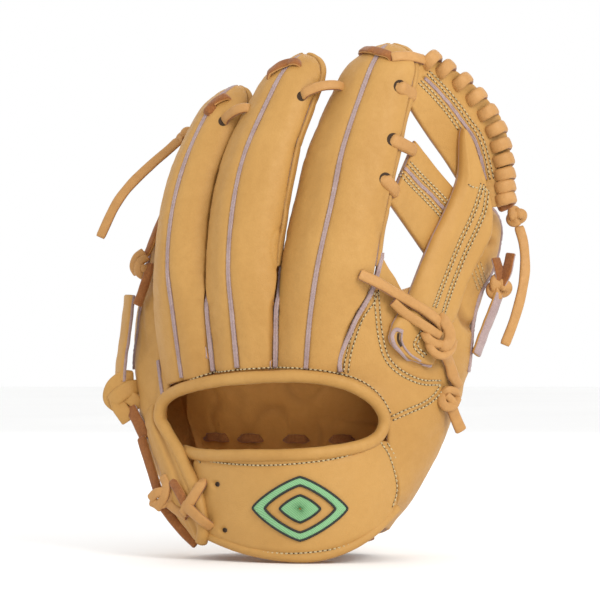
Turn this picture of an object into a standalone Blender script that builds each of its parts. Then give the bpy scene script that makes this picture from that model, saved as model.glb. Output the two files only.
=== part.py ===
"""An infield baseball glove for the left hand, standing on its heel with the fingers up.

The back of the glove faces -Y, the thumb is at +X and the pocket opens toward +Y. Lengths in the
tables are millimetres, from a corner by the strap's lower edge; every mesh is written in metres
from ORIGIN, the middle of the mouth that the hand goes in by. The four finger stalls and the thumb stall
are lofted tubes. Each is described by stations up its height, and a point on its skin is found from
a height, an angle round the tube (0 at the back seam, positive toward the thumb) and an inset.
"""
import math

import bpy
from mathutils import Vector

MM = 0.001
ORIGIN = Vector((0, 36, 6))
SEAM_GAP = 0.7          # between two leather pieces sewn edge to edge
LEATHER = 3.2           # a leather panel with its backing
WELT_RADIUS = 1.1
LACE_RADIUS = 2.2
LOOP_RADIUS = 2.6
TIP_DOME = 17.0         # height of a fingertip's rounded end
SEAM_TUCK = 10.0        # degrees that a stall's back turns in past its seam
CUT_HEIGHT = 95.0       # the thumb and pinky stalls start here, on the heel
FORK_HEIGHT = 152.0     # the fingers part above this height

# Back seam x, y, then z, half width, half depth and turn in degrees away from facing -Y.
STALLS = {
    "pinky": [
        (-88, 78, 95, 29, 14, 72),
        (-85, 76, 125, 27, 14, 72),
        (-81, 78, 152, 21, 13.5, 72),
        (-69, 83, 186, 17.5, 13, 70),
        (-58, 91, 212, 16, 12, 68),
        (-48, 98, 232, 14, 11, 66),
    ],
    "ring": [
        (-61, 32, 88, 28, 17, 46),
        (-66, 28, 125, 26, 17, 44),
        (-69, 28, 152, 20, 16.5, 42),
        (-65.5, 32, 186, 18.5, 16, 42),
        (-57, 39, 214, 17.5, 15, 42),
        (-41, 50, 247, 14.5, 13, 42),
    ],
    "middle": [
        (-32, 12, 92, 26, 19, 27),
        (-35, 7, 125, 25, 18, 28),
        (-37, 6, 152, 21.5, 17, 30),
        (-34, 9, 186, 22, 16.5, 32),
        (-27, 16, 214, 21, 15.5, 33),
        (-5, 30, 262, 17, 13, 35),
    ],
    "index": [
        (2.5, 2, 94, 26, 19, 12),
        (5, -2, 125, 27, 18.5, 15),
        (9, -4, 152, 26.5, 18, 18),
        (16.5, -1, 186, 25.5, 17.5, 19),
        (22.5, 6, 214, 25, 16.5, 21),
        (41, 22, 267, 19, 14, 24),
    ],
    "thumb": [
        (84, 58, 95, 20, 14, -62),
        (91, 62, 118, 20, 14, -64),
        (97, 68, 140, 19, 13.5, -66),
        (104, 74, 160, 18, 13, -68),
        (108, 80, 184, 15, 11, -68),
    ],
}
# Where each stall's back starts, at its left seam and at its right seam.
# Seams between neighbours: low and high ends, and how far the welt stands out of the seam.
FORK_WELTS = [
    ("pinky", "ring", 100, 128, 5.0),
    ("ring", "middle", 104, 144, 3.2),
    ("middle", "index", 104, 138, 4.4),
    ("index", "thumb", 101, 150, 2.6),
]
WELT_LEVEL = 127.0      # above this the backs turn in to the fork, and the welts don't
RIM_HEIGHTS = {
    "pinky": (CUT_HEIGHT, CUT_HEIGHT),
    "ring": (89.5, 97.5),
    "middle": (98, 100),
    "index": (100, 97),
    "thumb": (CUT_HEIGHT, CUT_HEIGHT),
}
ROW = ["pinky", "ring", "middle", "index"]

# The skin of the palm and of the two heel pads: plan points at rising heights.
PALM_ROWS = [
    (6, [(-43, 71), (-28, 80), (-8, 85), (12, 84), (25, 79), (31, 73)]),
    (35, [(-56, 79), (-42, 83), (-20, 82), (5, 79), (24, 79), (38, 79)]),
    (70, [(-55, 84), (-46, 80), (-30, 70), (-6, 61), (22, 58), (45, 66)]),
    (93, [(-50, 73), (-43, 67), (-31, 59), (-8, 50), (20, 46), (47, 55)]),
    (122, [(-47, 65), (-42, 60), (-32, 53), (-12, 43), (18, 38), (45, 44)]),
    (150, [(-46, 60), (-42, 53), (-34, 46), (-16, 37), (16, 32), (43, 34)]),
]
PINKY_HEEL_ROWS = [
    (8, [(-49, 40), (-54, 47), (-54, 58), (-46, 70)]),
    (35, [(-63, 42), (-71, 50), (-73, 63), (-59.5, 78.5)]),
    (70, [(-76, 53), (-83, 65), (-82, 82), (-59, 87)]),
    (93.4, [(-80, 60), (-87, 74), (-82, 94), (-54.5, 77)]),
]
THUMB_HEEL_ROWS = [
    (8, [(42, 24), (44, 34), (44, 46), (42, 58), (36, 71)]),
    (35, [(53, 21), (59, 33), (61, 46), (57, 61), (44, 78)]),
    (70, [(48, 18), (66, 28), (78, 48), (74, 68), (52, 69)]),
    (90, [(46, 13), (68, 26), (85, 51), (80, 76), (55, 60)]),
]
# The wrist strap's outer face, left to right: x, y, then its lower and upper edge heights.
STRAP_ROWS = [
    (-54, 29, 15, 53),
    (-45, 17, 9, 54),
    (-28, 4, 3.5, 54),
    (-9, -5, 0, 54),
    (8, -7, 0.5, 55),
    (24, -4, 5, 58),
    (38, 5, 12, 62),
    (49, 16, 22, 60),
]
BINDING_RADIUS = 3.2
BINDING_PATH = [
    (-65, 38, 54), (-70, 43.5, 63), (-73, 46, 72), (-70, 41, 82), (-60, 30.5, 88), (-40, 15, 92.5),
    (-14, 3, 94.5), (4, -1, 94.5), (22, -2, 91.5), (35, 2, 85), (42, 7.5, 77), (43, 10, 66),
]

# The web: edges in x and z, laid on the curved sheet that web_depth gives.
WEB_POST_LEFT = [
    (84.5, 223), (83.5, 195), (74.5, 175), (66.5, 156),
    (57.5, 137), (50, 121), (47.5, 114), (48.5, 108),
]
WEB_POST_RIGHT = [
    (91, 223), (97, 205), (99.5, 186), (98, 165), (91, 146), (82, 126), (74, 110), (70, 101.5),
]
POST_THICK = 4.0
POST_FACE = 8.5         # from the web sheet out to the post's face
FOOT_FACE = 9.5         # from the crotch patch out to the post's face
FOOT_SPAN = (122, 156)  # the post leaves the crotch patch and meets the web between these
UPPER_BAR_TOP = [(63.5, 258.5), (75.5, 251.5), (89, 240.5)]
UPPER_BAR_LOW = [(60.5, 233), (68, 220), (81, 199.5)]
LOWER_BAR_TOP = [(60.5, 216.5), (70.5, 204.5), (79.5, 192.5)]
LOWER_BAR_LOW = [(49.5, 184), (57, 170.5), (65.5, 158)]
THUMB_BAR_OUT = [(91.5, 238.5), (102, 227.5), (107.5, 211), (108.5, 196), (107.5, 184)]
THUMB_BAR_IN = [(84, 201.5), (88, 199.5), (93, 195), (97, 190), (99.5, 184)]
WEB_TIES = [(243, 62, 242), (215.5, 61, 210), (191, 53, 189)]   # height on the index, x and z on the bar
WHIP_INDEX = [(63, 262.5), (70, 259.5), (77, 255.5), (84, 250), (89.5, 245)]
WHIP_THUMB = [(94.5, 240.5), (104.5, 230.5), (110.5, 218), (112, 205), (112, 193), (110.5, 184)]

CROTCH_LEFT = [(24, 98), (29, 118), (39.5, 137)]
CROTCH_RIGHT = [(64, 93.5), (60, 112), (44, 139)]

# The free ends of the tip laces: flat lace, stood for by a round tube.
TAIL_RADIUS = 2.0
PINKY_TAIL = [
    (-64.8, 87, 219), (-70, 84, 214), (-79, 80, 206), (-90, 76, 195), (-98, 74, 184), (-106, 73, 167),
]
THUMB_TAIL = [
    (116, 71.5, 172.8), (118.5, 70, 163), (119, 68, 150), (117, 66, 137), (113, 64, 123), (108, 63, 110),
]

# The thumb closes about a line up the crotch; the little finger folds about a line by the ring.
THUMB_AXIS = (Vector((57, 48, 112)), Vector((80, 62, 195)))
PINKY_AXIS = (Vector((-55, 70, 95)), Vector((-50, 82, 200)))

PIVOTS = {"thumb": THUMB_AXIS[0], "pinky": PINKY_AXIS[0]}
MOVES_WITH = {
    "thumb": [
        "thumb_back_inner", "thumb_back_outer", "thumb_front", "thumb_welt", "thumb_stiffener",
        "thumb_tip_knot", "thumb_tip_lace_tail", "thumb_loop", "thumb_loop_knot",
        "web_post", "web_thumb_bar", "web_whip_lace_thumb_end", "web_base_lace", "web_base_knot",
    ],
    "pinky": [
        "pinky_back_inner", "pinky_back_outer", "pinky_front", "pinky_welt", "pinky_stiffener",
        "pinky_tip_knot", "pinky_tip_lace_tail", "pinky_loop", "pinky_loop_knot",
    ],
}


def clear_scene():
    for item in list(bpy.data.objects):
        bpy.data.objects.remove(item, do_unlink=True)


def material(name, colour, roughness):
    made = bpy.data.materials.new(name)
    made.use_nodes = True
    shader = made.node_tree.nodes["Principled BSDF"]
    shader.inputs["Base Color"].default_value = (*colour, 1)
    shader.inputs["Roughness"].default_value = roughness
    return made


def blend_rows(rows, height):
    """Values of a table at a height, on a smooth curve through its rows. rows: (height, values)."""
    last = len(rows) - 1
    i = max(0, min(last - 1, sum(height > row[0] for row in rows) - 1))
    z0, z1 = rows[i][0], rows[i + 1][0]
    before, after = rows[max(0, i - 1)], rows[min(last, i + 2)]
    t = (height - z0) / (z1 - z0)
    step = z1 - z0
    values = []
    for k, (p0, p1) in enumerate(zip(rows[i][1], rows[i + 1][1])):
        slope0 = (p1 - before[1][k]) / (z1 - before[0]) * step
        slope1 = (after[1][k] - p0) / (after[0] - z0) * step
        h = (2 * t**3 - 3 * t**2 + 1, t**3 - 2 * t**2 + t, 3 * t**2 - 2 * t**3, t**3 - t**2)
        values.append(h[0] * p0 + h[1] * slope0 + h[2] * p1 + h[3] * slope1)
    return values


def stall_at(name, height):
    """Centre, row direction, outward normal, half width and half depth of a stall at a height."""
    rows = [(s[2], (s[0], s[1], s[3], s[4], s[5])) for s in STALLS[name]]
    x, y, wide, deep, turn = blend_rows(rows, min(height, rows[-1][0]))
    angle = math.radians(turn)
    normal = Vector((-math.sin(angle), -math.cos(angle), 0))
    across = Vector((math.cos(angle), -math.sin(angle), 0))
    centre = Vector((x, y, height)) - normal * deep
    return centre, across, normal, wide, deep


def top_of(name):
    return STALLS[name][-1][2]


def dome(name, height, inset):
    """How much of a stall's width is left near its rounded tip, and the inset point's height."""
    start = top_of(name) - TIP_DOME
    if height <= start:
        return 1.0, height
    t = (height - start) / TIP_DOME
    return math.sqrt(max(0.0, 1 - t * t)), start + t * (TIP_DOME - inset)


def seam_between(left, right, height):
    """A point between two neighbouring stalls at a height, and the direction from left to right."""
    a = stall_at(left, height)
    b = stall_at(right, height)
    toward = (b[0] - a[0]).normalized()
    share = a[3] / (a[3] + b[3])
    return a[0].lerp(b[0], share), toward


def keep_apart(name, point):
    """Moves a skin point back to its own side of the seams with its neighbours."""
    at = ROW.index(name) if name in ROW else None
    if at is None:
        return point
    for other, sign in ((at - 1, -1), (at + 1, 1)):
        if not 0 <= other < len(ROW):
            continue
        pair = (name, ROW[other]) if sign > 0 else (ROW[other], name)
        if point.z > min(top_of(pair[0]), top_of(pair[1])):
            continue
        middle, toward = seam_between(*pair, point.z)
        past = (point - middle).dot(toward) * sign + SEAM_GAP / 2
        if past > 0:
            point = point - toward * sign * past
    return point


def skin(name, height, angle, inset=0.0):
    """A point on a stall's skin, or inside it by the inset; the angle is in degrees."""
    share, level = dome(name, height, inset)
    centre, across, normal, wide, deep = stall_at(name, level)
    turn = math.radians(angle)
    side = max(wide * share - inset, 0.3 * wide * share)
    out = max(deep * share - inset, 0.3 * deep * share)
    point = centre + across * side * math.sin(turn) + normal * out * math.cos(turn)
    return keep_apart(name, point)


def side_limit(name, side, height):
    """The angle at which a stall's back ends, on its left (-1) or right (+1) side."""
    at = ROW.index(name) if name in ROW else None
    free = 90.0
    if name == "index" and side > 0:
        hand = 39.0
    elif at is not None and 0 <= at + side < len(ROW):
        other = ROW[at + side]
        pair = (name, other) if side > 0 else (other, name)
        middle, _ = seam_between(*pair, min(height, FORK_HEIGHT))
        centre, _, _, wide, _ = stall_at(name, min(height, FORK_HEIGHT))
        hand = SEAM_TUCK + math.degrees(math.asin(min(1.0, (middle - centre).length / wide)))
    else:
        hand = free
    rise = max(0.0, min(1.0, (height - 128) / (FORK_HEIGHT - 128)))
    rise = rise * rise * (3 - 2 * rise)
    return hand + (free - hand) * rise


def add_pivots():
    """An empty on each joint's axis, which the pieces of its body hang from."""
    for body, (low, high) in (("thumb", THUMB_AXIS), ("pinky", PINKY_AXIS)):
        pivot = bpy.data.objects.new(f"{body}_axis", None)
        pivot.empty_display_size = (high - low).length * MM
        pivot.location = (PIVOTS[body] - ORIGIN) * MM
        bpy.context.scene.collection.objects.link(pivot)


def pivot_of(name):
    """The empty that a piece hangs from, or None, and the point that its mesh is measured from."""
    for body, names in MOVES_WITH.items():
        if name in names:
            return bpy.data.objects[f"{body}_axis"], PIVOTS[body]
    return None, ORIGIN


def place(name, data):
    made = bpy.data.objects.new(name, data)
    made.parent = pivot_of(name)[0]
    bpy.context.scene.collection.objects.link(made)
    return made


def add_mesh(name, points, faces, look):
    base = pivot_of(name)[1]
    mesh = bpy.data.meshes.new(name)
    mesh.from_pydata([tuple((p - base) * MM) for p in points], [], faces)
    mesh.materials.append(look)
    mesh.shade_smooth()
    return place(name, mesh)


def is_inside_out(points, faces):
    volume = 0.0
    for face in faces:
        for k in range(1, len(face) - 1):
            a, b, c = points[face[0]], points[face[k]], points[face[k + 1]]
            volume += a.dot(b.cross(c))
    return volume < 0


def loft(name, rings, look):
    """A closed solid through rings of equal, even size, each end capped with a strip of quads."""
    size = len(rings[0])
    points = [p for ring in rings for p in ring]
    faces = []
    for i in range(len(rings) - 1):
        for k in range(size):
            a, b = i * size + k, i * size + (k + 1) % size
            faces.append((a, b, b + size, a + size))
    for base, flip in ((0, True), ((len(rings) - 1) * size, False)):
        for k in range(size // 2 - 1):
            quad = (base + k, base + k + 1, base + size - 2 - k, base + size - 1 - k)
            faces.append(quad[::-1] if flip else quad)
    if is_inside_out(points, faces):
        faces = [face[::-1] for face in faces]
    return add_mesh(name, points, faces, look)


def spaced(start, end, count):
    return [start + (end - start) * k / (count - 1) for k in range(count)]


def stall_heights(name, start, rows=8, tip_rows=3):
    """Heights from a start to the tip, closer together where the tip rounds over."""
    shoulder = top_of(name) - TIP_DOME
    low = spaced(start, shoulder, rows)
    tip = [shoulder + TIP_DOME * math.sin(math.radians(a)) for a in spaced(22, 80, tip_rows)]
    return low + tip


def stall_shell(name, stall, first, last, start, look, inset=0.0, thick=LEATHER, count=5):
    """A shell round part of a stall; first and last give its end angles at a height."""
    rings = []
    heights = stall_heights(stall, start(0) if callable(start) else start)
    for height in heights:
        a, b = first(height), last(height)
        outer, inner = [], []
        for angle in spaced(a, b, count):
            level = height
            if callable(start):
                low = start(angle)
                lift = max(0.0, 1 - (height - start(0)) / 40)
                level = height + (low - start(0)) * lift
            outer.append(skin(stall, level, angle, inset))
            inner.append(skin(stall, level, angle, inset + thick))
        rings.append(outer + inner[::-1])
    return loft(name, rings, look)


def tube(name, path, radius, look, sides=6):
    """A round tube through a path, turned as little as possible along it."""
    tangents = []
    for i in range(len(path)):
        tangents.append((path[min(i + 1, len(path) - 1)] - path[max(i - 1, 0)]).normalized())
    up = tangents[0].orthogonal().normalized()
    rings = []
    for point, tangent in zip(path, tangents):
        up = (up - tangent * up.dot(tangent)).normalized()
        other = tangent.cross(up)
        ring = []
        for k in range(sides):
            turn = 2 * math.pi * (k + 0.5) / sides
            ring.append(point + up * radius * math.cos(turn) + other * radius * math.sin(turn))
        rings.append(ring)
    return loft(name, rings, look)


def smooth_path(points, count):
    """Evenly numbered points on a smooth curve through hand-placed points."""
    rows = [(k, tuple(p)) for k, p in enumerate(points)]
    return [Vector(blend_rows(rows, t)) for t in spaced(0, len(points) - 1, count)]


def sheet(name, rows, look, heights, thick=LEATHER, inward=1, across=13, inset=0.0, trim=0):
    """A shell through plan rows at rising heights; its thickness goes inward from the rows."""
    flat = [(z, [v for p in points for v in p]) for z, points in rows]
    rings = []
    for height in heights:
        values = blend_rows(flat, height)
        points = [(values[2 * k], values[2 * k + 1], height) for k in range(len(values) // 2)]
        line = smooth_path(points, across)
        outer, inner = [], []
        for i in range(trim, across - trim):
            along = line[min(i + 1, across - 1)] - line[max(i - 1, 0)]
            side = Vector((along.y, -along.x, 0)).normalized() * inward
            outer.append(line[i] + side * inset)
            inner.append(line[i] + side * (inset + thick))
        rings.append(outer + inner[::-1])
    return loft(name, rings, look)


def band(name, rail_a, rail_b, look, thick=LEATHER, count=9, across=3):
    """A plate between two edges, its thickness going away from the back of the glove."""
    edge_a, edge_b = smooth_path(rail_a, count), smooth_path(rail_b, count)
    rings = []
    for i in range(count):
        along = edge_a[min(i + 1, count - 1)] - edge_a[max(i - 1, 0)]
        along = along + edge_b[min(i + 1, count - 1)] - edge_b[max(i - 1, 0)]
        normal = along.cross(edge_b[i] - edge_a[i]).normalized()
        if normal.y < 0:
            normal = -normal
        face = [edge_a[i].lerp(edge_b[i], k / (across - 1)) for k in range(across)]
        rings.append(face + [p + normal * thick for p in face[::-1]])
    return loft(name, rings, look)


def knot(name, centre, size, look):
    """A pulled-tight lace knot: a squashed ball with a waist."""
    rings = []
    for t in spaced(-78, 78, 7):
        level = math.radians(t)
        waist = 0.86 + 0.14 * abs(math.sin(level))
        ring = []
        for k in range(8):
            turn = 2 * math.pi * k / 8
            reach = math.cos(level) * waist
            ring.append(centre + Vector((size[0] * reach * math.cos(turn),
                                         size[1] * reach * math.sin(turn),
                                         size[2] * math.sin(level))))
        rings.append(ring)
    return loft(name, rings, look)


def build_fingers(looks):
    for name in ROW:
        low_left, low_right = RIM_HEIGHTS[name]

        def start(angle, low_left=low_left, low_right=low_right):
            return (low_left + low_right) / 2 + (low_right - low_left) * angle / 100

        split = 1.4
        stall_shell(f"{name}_back_outer", name, lambda h: -side_limit(name, -1, h),
                    lambda h: -split, start, looks["leather"])
        stall_shell(f"{name}_back_inner", name, lambda h: split,
                    lambda h: side_limit(name, 1, h), start, looks["leather"])
        heights = stall_heights(name, start(0) + 1, rows=10, tip_rows=3)
        path = [skin(name, h, 0, -WELT_RADIUS - 0.4) for h in heights]
        tube(f"{name}_welt", path, WELT_RADIUS, looks["welt"], sides=6)


def build_fork_welts(looks):
    """A welt along each seam between neighbouring backs, just clear of both of them."""
    for left, right, low, high, rise in FORK_WELTS:
        path = []
        for height in spaced(low, high, 8):
            level = min(height, WELT_LEVEL)
            a = skin(left, height, side_limit(left, 1, level))
            if right == "thumb":
                b, normal = a, stall_at(left, height)[2] + Vector((0.5, 0, 0))
            else:
                b = skin(right, height, -side_limit(right, -1, level))
                normal = stall_at(left, height)[2] + stall_at(right, height)[2]
            path.append((a + b) / 2 + normal.normalized() * rise)
        tube(f"{left}_{right}_welt", path, WELT_RADIUS, looks["welt"], sides=6)


def build_finger_fronts(looks):
    for name in ROW[1:]:
        stall_shell(f"{name}_front", name, lambda h: 95.0, lambda h: 265.0,
                    FORK_HEIGHT - 0.6, looks["leather"], count=8)

    def near_edge(height):
        rise = max(0.0, min(1.0, (height - 125) / (FORK_HEIGHT - 125)))
        return 128 - 36 * rise

    stall_shell("pinky_front", "pinky", near_edge, lambda h: 268.0, CUT_HEIGHT,
                looks["leather"], count=8)


def build_thumb(looks):
    stall_shell("thumb_back_inner", "thumb", lambda h: -90.0, lambda h: -1.8, CUT_HEIGHT,
                looks["leather"])
    stall_shell("thumb_back_outer", "thumb", lambda h: 1.8, lambda h: 90.0, CUT_HEIGHT,
                looks["leather"])
    stall_shell("thumb_front", "thumb", lambda h: 92.0, lambda h: 268.0, CUT_HEIGHT,
                looks["leather"], count=8)
    path = [skin("thumb", h, 0, -WELT_RADIUS - 0.4) for h in stall_heights("thumb", CUT_HEIGHT)]
    tube("thumb_welt", path, WELT_RADIUS, looks["welt"], sides=6)


def build_heel(looks):
    heights = spaced(PALM_ROWS[0][0], PALM_ROWS[-1][0], 12)
    sheet("palm", PALM_ROWS, looks["leather"], heights)
    inner = heights[1:9]
    sheet("palm_pad", PALM_ROWS, looks["felt"], inner, 5.0, inset=LEATHER + 1.5, trim=1)
    sheet("palm_lining", PALM_ROWS, looks["lining"], inner, 1.8, inset=LEATHER + 7.4, trim=1)
    low = spaced(8, 92.5, 9)
    sheet("pinky_heel", PINKY_HEEL_ROWS, looks["leather"], low, 4.0, across=9)
    low = spaced(8, 91.5, 9)
    sheet("thumb_heel", THUMB_HEEL_ROWS, looks["leather"], low, 4.0, inward=-1, across=9)


def build_strap(looks):
    for name, look, inset, thick, trim in (
        ("wrist_strap", "leather", 0.0, LEATHER, 0.0),
        ("strap_padding", "lining", LEATHER + 0.5, 4.0, 2.5),
    ):
        low = [(x, y, z + trim) for x, y, z, _ in STRAP_ROWS]
        high = [(x, y, z - trim) for x, y, _, z in STRAP_ROWS]
        edge_low, edge_high = smooth_path(low, 15), smooth_path(high, 15)
        rings = []
        for i, (a, b) in enumerate(zip(edge_low, edge_high)):
            along = edge_low[min(i + 1, 14)] - edge_low[max(i - 1, 0)]
            back = Vector((-along.y, along.x, 0)).normalized()
            face = [a.lerp(b, k / 4) + back * inset for k in range(5)]
            rings.append(face + [p + back * thick for p in face[::-1]])
        loft(name, rings, looks[look])


def web_depth(x, z):
    """How far back the web lies: level with the index stall, then curving back to the thumb."""
    edge_x = 46 + (z - 186) * 0.135
    edge_y = 9 + max(0.0, z - 186) * 0.22
    reach = max(0.0, min(1.0, (x - edge_x) / 54))
    return edge_y + (57 - edge_y) * (1 - (1 - reach) ** 1.6) + max(0.0, x - edge_x - 54) * 0.3


def on_web(points):
    return [Vector((x, web_depth(x, z), z)) for x, z in points]


def crotch_depth(x, z):
    """How far back the crotch patch lies, between the index stall and the thumb."""
    return -2.5 + max(0.0, x - 22) * 0.56 - max(0.0, z - 97) * 0.04


def post_edge(points):
    """An edge of the post: on the web high up, and on the crotch patch at its foot."""
    edge = []
    low, high = FOOT_SPAN
    for x, z in points:
        t = max(0.0, min(1.0, (z - low) / (high - low)))
        foot, top = crotch_depth(x, z) - FOOT_FACE, web_depth(x, z) - POST_FACE
        edge.append(Vector((x, foot + (top - foot) * t * t * (3 - 2 * t), z)))
    return edge


def build_web(looks):
    leather, lace = looks["leather"], looks["lace"]
    band("web_upper_bar", on_web(UPPER_BAR_TOP), on_web(UPPER_BAR_LOW), leather)
    band("web_lower_bar", on_web(LOWER_BAR_TOP), on_web(LOWER_BAR_LOW), leather)
    band("web_thumb_bar", on_web(THUMB_BAR_OUT), on_web(THUMB_BAR_IN), leather)
    left, right = post_edge(WEB_POST_LEFT), post_edge(WEB_POST_RIGHT)
    band("web_post", left, right, leather, POST_THICK, 17, 4)
    tube("web_whip_lace_index_end", smooth_path(on_web(WHIP_INDEX), 9), LOOP_RADIUS, lace)
    tube("web_whip_lace_thumb_end", smooth_path(on_web(WHIP_THUMB), 11), LOOP_RADIUS, lace)
    for number, (height, bar_x, bar_z) in enumerate(WEB_TIES):
        start = skin("index", height, 66, -LACE_RADIUS - 0.6)
        turn = skin("index", height, 84, -LACE_RADIUS - 0.6)
        end = Vector((bar_x, web_depth(bar_x, bar_z) - LACE_RADIUS - 2.5, bar_z))
        path = smooth_path([start, turn, end], 7)
        tube(f"index_web_lace_{number + 1}", path, LACE_RADIUS, lace)


def build_crotch(looks):
    left = [Vector((x, crotch_depth(x, z), z)) for x, z in CROTCH_LEFT]
    right = [Vector((x, crotch_depth(x, z), z)) for x, z in CROTCH_RIGHT]
    band("crotch_patch", left, right, looks["leather"], count=9, across=6)


def build_binding(looks):
    tube("opening_binding", smooth_path(BINDING_PATH, 29), BINDING_RADIUS, looks["leather"], 8)


def build_stiffeners(looks):
    for stall, low, high in (("thumb", 100, 160), ("pinky", 100, 205)):
        rings = []
        for height in spaced(low, high, 7):
            outer = [skin(stall, height, a, LEATHER + 0.8) for a in spaced(-48, 42, 7)]
            inner = [skin(stall, height, a, LEATHER + 3.2) for a in spaced(-48, 42, 7)]
            rings.append(outer + inner[::-1])
        loft(f"{stall}_stiffener", rings, looks["felt"])


def build_laces(looks):
    lace = looks["lace"]
    out = -LACE_RADIUS - 2 * WELT_RADIUS - 1.2
    path = [skin("ring", 236, a, out) for a in (-70, -40, -10, 20, 45)]
    path += [skin("middle", 249, a, out) for a in (-52, -25, 0, 25, 48)]
    path += [skin("index", 253, a, out) for a in (-55, -28, 0, 26, 48)]
    tube("fingertip_lace", smooth_path(path, 33), LACE_RADIUS, lace)

    knot("pinky_tip_knot", Vector((-60.5, 88, 221)), (3.6, 4.2, 5.4), lace)
    knot("thumb_tip_knot", Vector((115, 72, 179)), (3.6, 4.2, 5.4), lace)
    knot("pinky_loop_knot", Vector((-95, 74, 81)), (5.5, 7, 10), lace)
    knot("thumb_loop_knot", Vector((107, 64, 141)), (4.2, 5, 7), lace)
    knot("web_base_knot", Vector((75.5, 10.5, 113)), (5, 4.2, 5.5), lace)
    knot("strap_lace_knot", Vector((-73, 33, 30)), (6, 5, 6), lace)

    loop = [(-93, 74, 138), (-93.5, 74, 125), (-94.5, 74, 108), (-95.5, 74, 92)]
    tube("pinky_loop", smooth_path(loop, 9), LOOP_RADIUS, lace)
    loop = [(104, 62, 133), (102, 58, 122), (97, 55, 110), (93, 53, 101)]
    tube("thumb_loop", smooth_path(loop, 9), LOOP_RADIUS, lace)
    base = [(33, -8, 149), (44, -5, 139), (56, 0.5, 128), (69, 7.5, 120)]
    tube("web_base_lace", smooth_path(base, 11), LACE_RADIUS, lace)
    cross = [(-50, 16, 40), (-57, 24, 32), (-66, 30, 30)]
    tube("strap_lace", smooth_path(cross, 9), LACE_RADIUS, lace)
    side = [(-86, 50, 64), (-82, 43, 50), (-76, 35, 38)]
    tube("heel_side_lace", smooth_path(side, 9), LACE_RADIUS, lace)
    heel = [
        (-40, 76, 3.2), (-26, 83, 3.2), (-8, 87, 3.2), (12, 86, 3.2), (25, 82, 3.2), (33, 75, 3.2),
    ]
    tube("heel_lace", smooth_path(heel, 17), LACE_RADIUS, lace)


def tail(name, route, look):
    """A free end of lace: a plain tube on one smooth curve."""
    curve = bpy.data.curves.new(name, "CURVE")
    curve.dimensions = "3D"
    curve.bevel_depth = TAIL_RADIUS * MM
    curve.bevel_resolution = 2
    curve.use_fill_caps = True
    curve.materials.append(look)
    path = smooth_path(route, 9)
    spline = curve.splines.new("POLY")
    spline.points.add(len(path) - 1)
    base = pivot_of(name)[1]
    for point, spot in zip(spline.points, path):
        point.co = (*((spot - base) * MM), 1)
    place(name, curve)


def main():
    clear_scene()
    add_pivots()
    looks = {
        "leather": material("tan_leather", (0.62, 0.38, 0.13), 0.5),
        "lining": material("lining_leather", (0.55, 0.36, 0.15), 0.6),
        "felt": material("wool_felt", (0.6, 0.57, 0.5), 0.9),
        "welt": material("welt_edge", (0.45, 0.33, 0.33), 0.7),
        "lace": material("lace_leather", (0.7, 0.42, 0.17), 0.5),
    }
    build_fingers(looks)
    build_fork_welts(looks)
    build_finger_fronts(looks)
    build_thumb(looks)
    build_stiffeners(looks)
    build_heel(looks)
    build_strap(looks)
    build_binding(looks)
    build_crotch(looks)
    build_web(looks)
    build_laces(looks)
    tail("pinky_tip_lace_tail", PINKY_TAIL, looks["lace"])
    tail("thumb_tip_lace_tail", THUMB_TAIL, looks["lace"])


main()
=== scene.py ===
"""The looks of a tan infield baseball glove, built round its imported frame.

Lengths in the tables are millimetres, from a corner by the strap's lower edge, as in the part's
own source; world() turns them into the frame's metres. The back of the glove faces -Y, the thumb
is at +X and the pocket opens toward +Y.
"""
import math

import bpy
import numpy as np
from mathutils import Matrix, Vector
from mathutils.bvhtree import BVHTree

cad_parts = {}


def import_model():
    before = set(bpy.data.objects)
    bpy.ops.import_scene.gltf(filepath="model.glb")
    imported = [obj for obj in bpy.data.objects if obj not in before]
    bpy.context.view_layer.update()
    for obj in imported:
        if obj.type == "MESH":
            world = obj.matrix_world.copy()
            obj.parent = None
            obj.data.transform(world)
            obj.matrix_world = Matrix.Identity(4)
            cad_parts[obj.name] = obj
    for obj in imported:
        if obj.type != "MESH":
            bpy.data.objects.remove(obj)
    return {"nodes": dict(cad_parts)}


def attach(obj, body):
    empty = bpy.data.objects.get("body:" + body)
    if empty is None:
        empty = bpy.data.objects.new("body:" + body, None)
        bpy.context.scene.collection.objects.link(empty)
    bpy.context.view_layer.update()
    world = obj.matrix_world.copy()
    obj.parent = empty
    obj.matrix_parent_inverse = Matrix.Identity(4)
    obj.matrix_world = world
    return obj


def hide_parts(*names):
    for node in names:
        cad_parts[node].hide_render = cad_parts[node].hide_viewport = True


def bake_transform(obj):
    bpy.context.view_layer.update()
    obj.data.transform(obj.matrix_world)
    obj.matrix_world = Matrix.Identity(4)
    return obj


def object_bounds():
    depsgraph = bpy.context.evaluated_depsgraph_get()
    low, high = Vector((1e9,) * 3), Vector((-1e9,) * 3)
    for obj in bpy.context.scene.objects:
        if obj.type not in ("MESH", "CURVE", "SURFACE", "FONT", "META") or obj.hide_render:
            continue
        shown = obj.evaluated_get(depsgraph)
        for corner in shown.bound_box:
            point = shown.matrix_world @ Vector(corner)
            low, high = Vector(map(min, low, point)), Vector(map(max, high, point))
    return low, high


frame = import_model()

CAD_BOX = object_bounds()
MM = 0.001
ORIGIN = np.array((0.0, 36.0, 6.0))
LEATHER = 3.2
TIP_DOME = 17.0             # height of a stall's rounded tip
SEAM_TUCK = 10.0            # degrees that a finger's back runs on past its seam
FORK_HEIGHT = 152.0         # where the fingers part
SIDES_SQUARE = 128.0        # where a finger's back starts to widen to a half turn
SEAM_GAP = 0.7
LACE_WIDTH = 5.3
LACE_THICK = 2.0
MADE = {}                   # the pieces made here, by plain name
AWAY = np.array((0.0, -1.0, 0.0))
TOWARD_PALM = np.array((0.0, 1.0, 0.0))
FAR = 400.0                 # where a ray onto a skin starts

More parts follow.
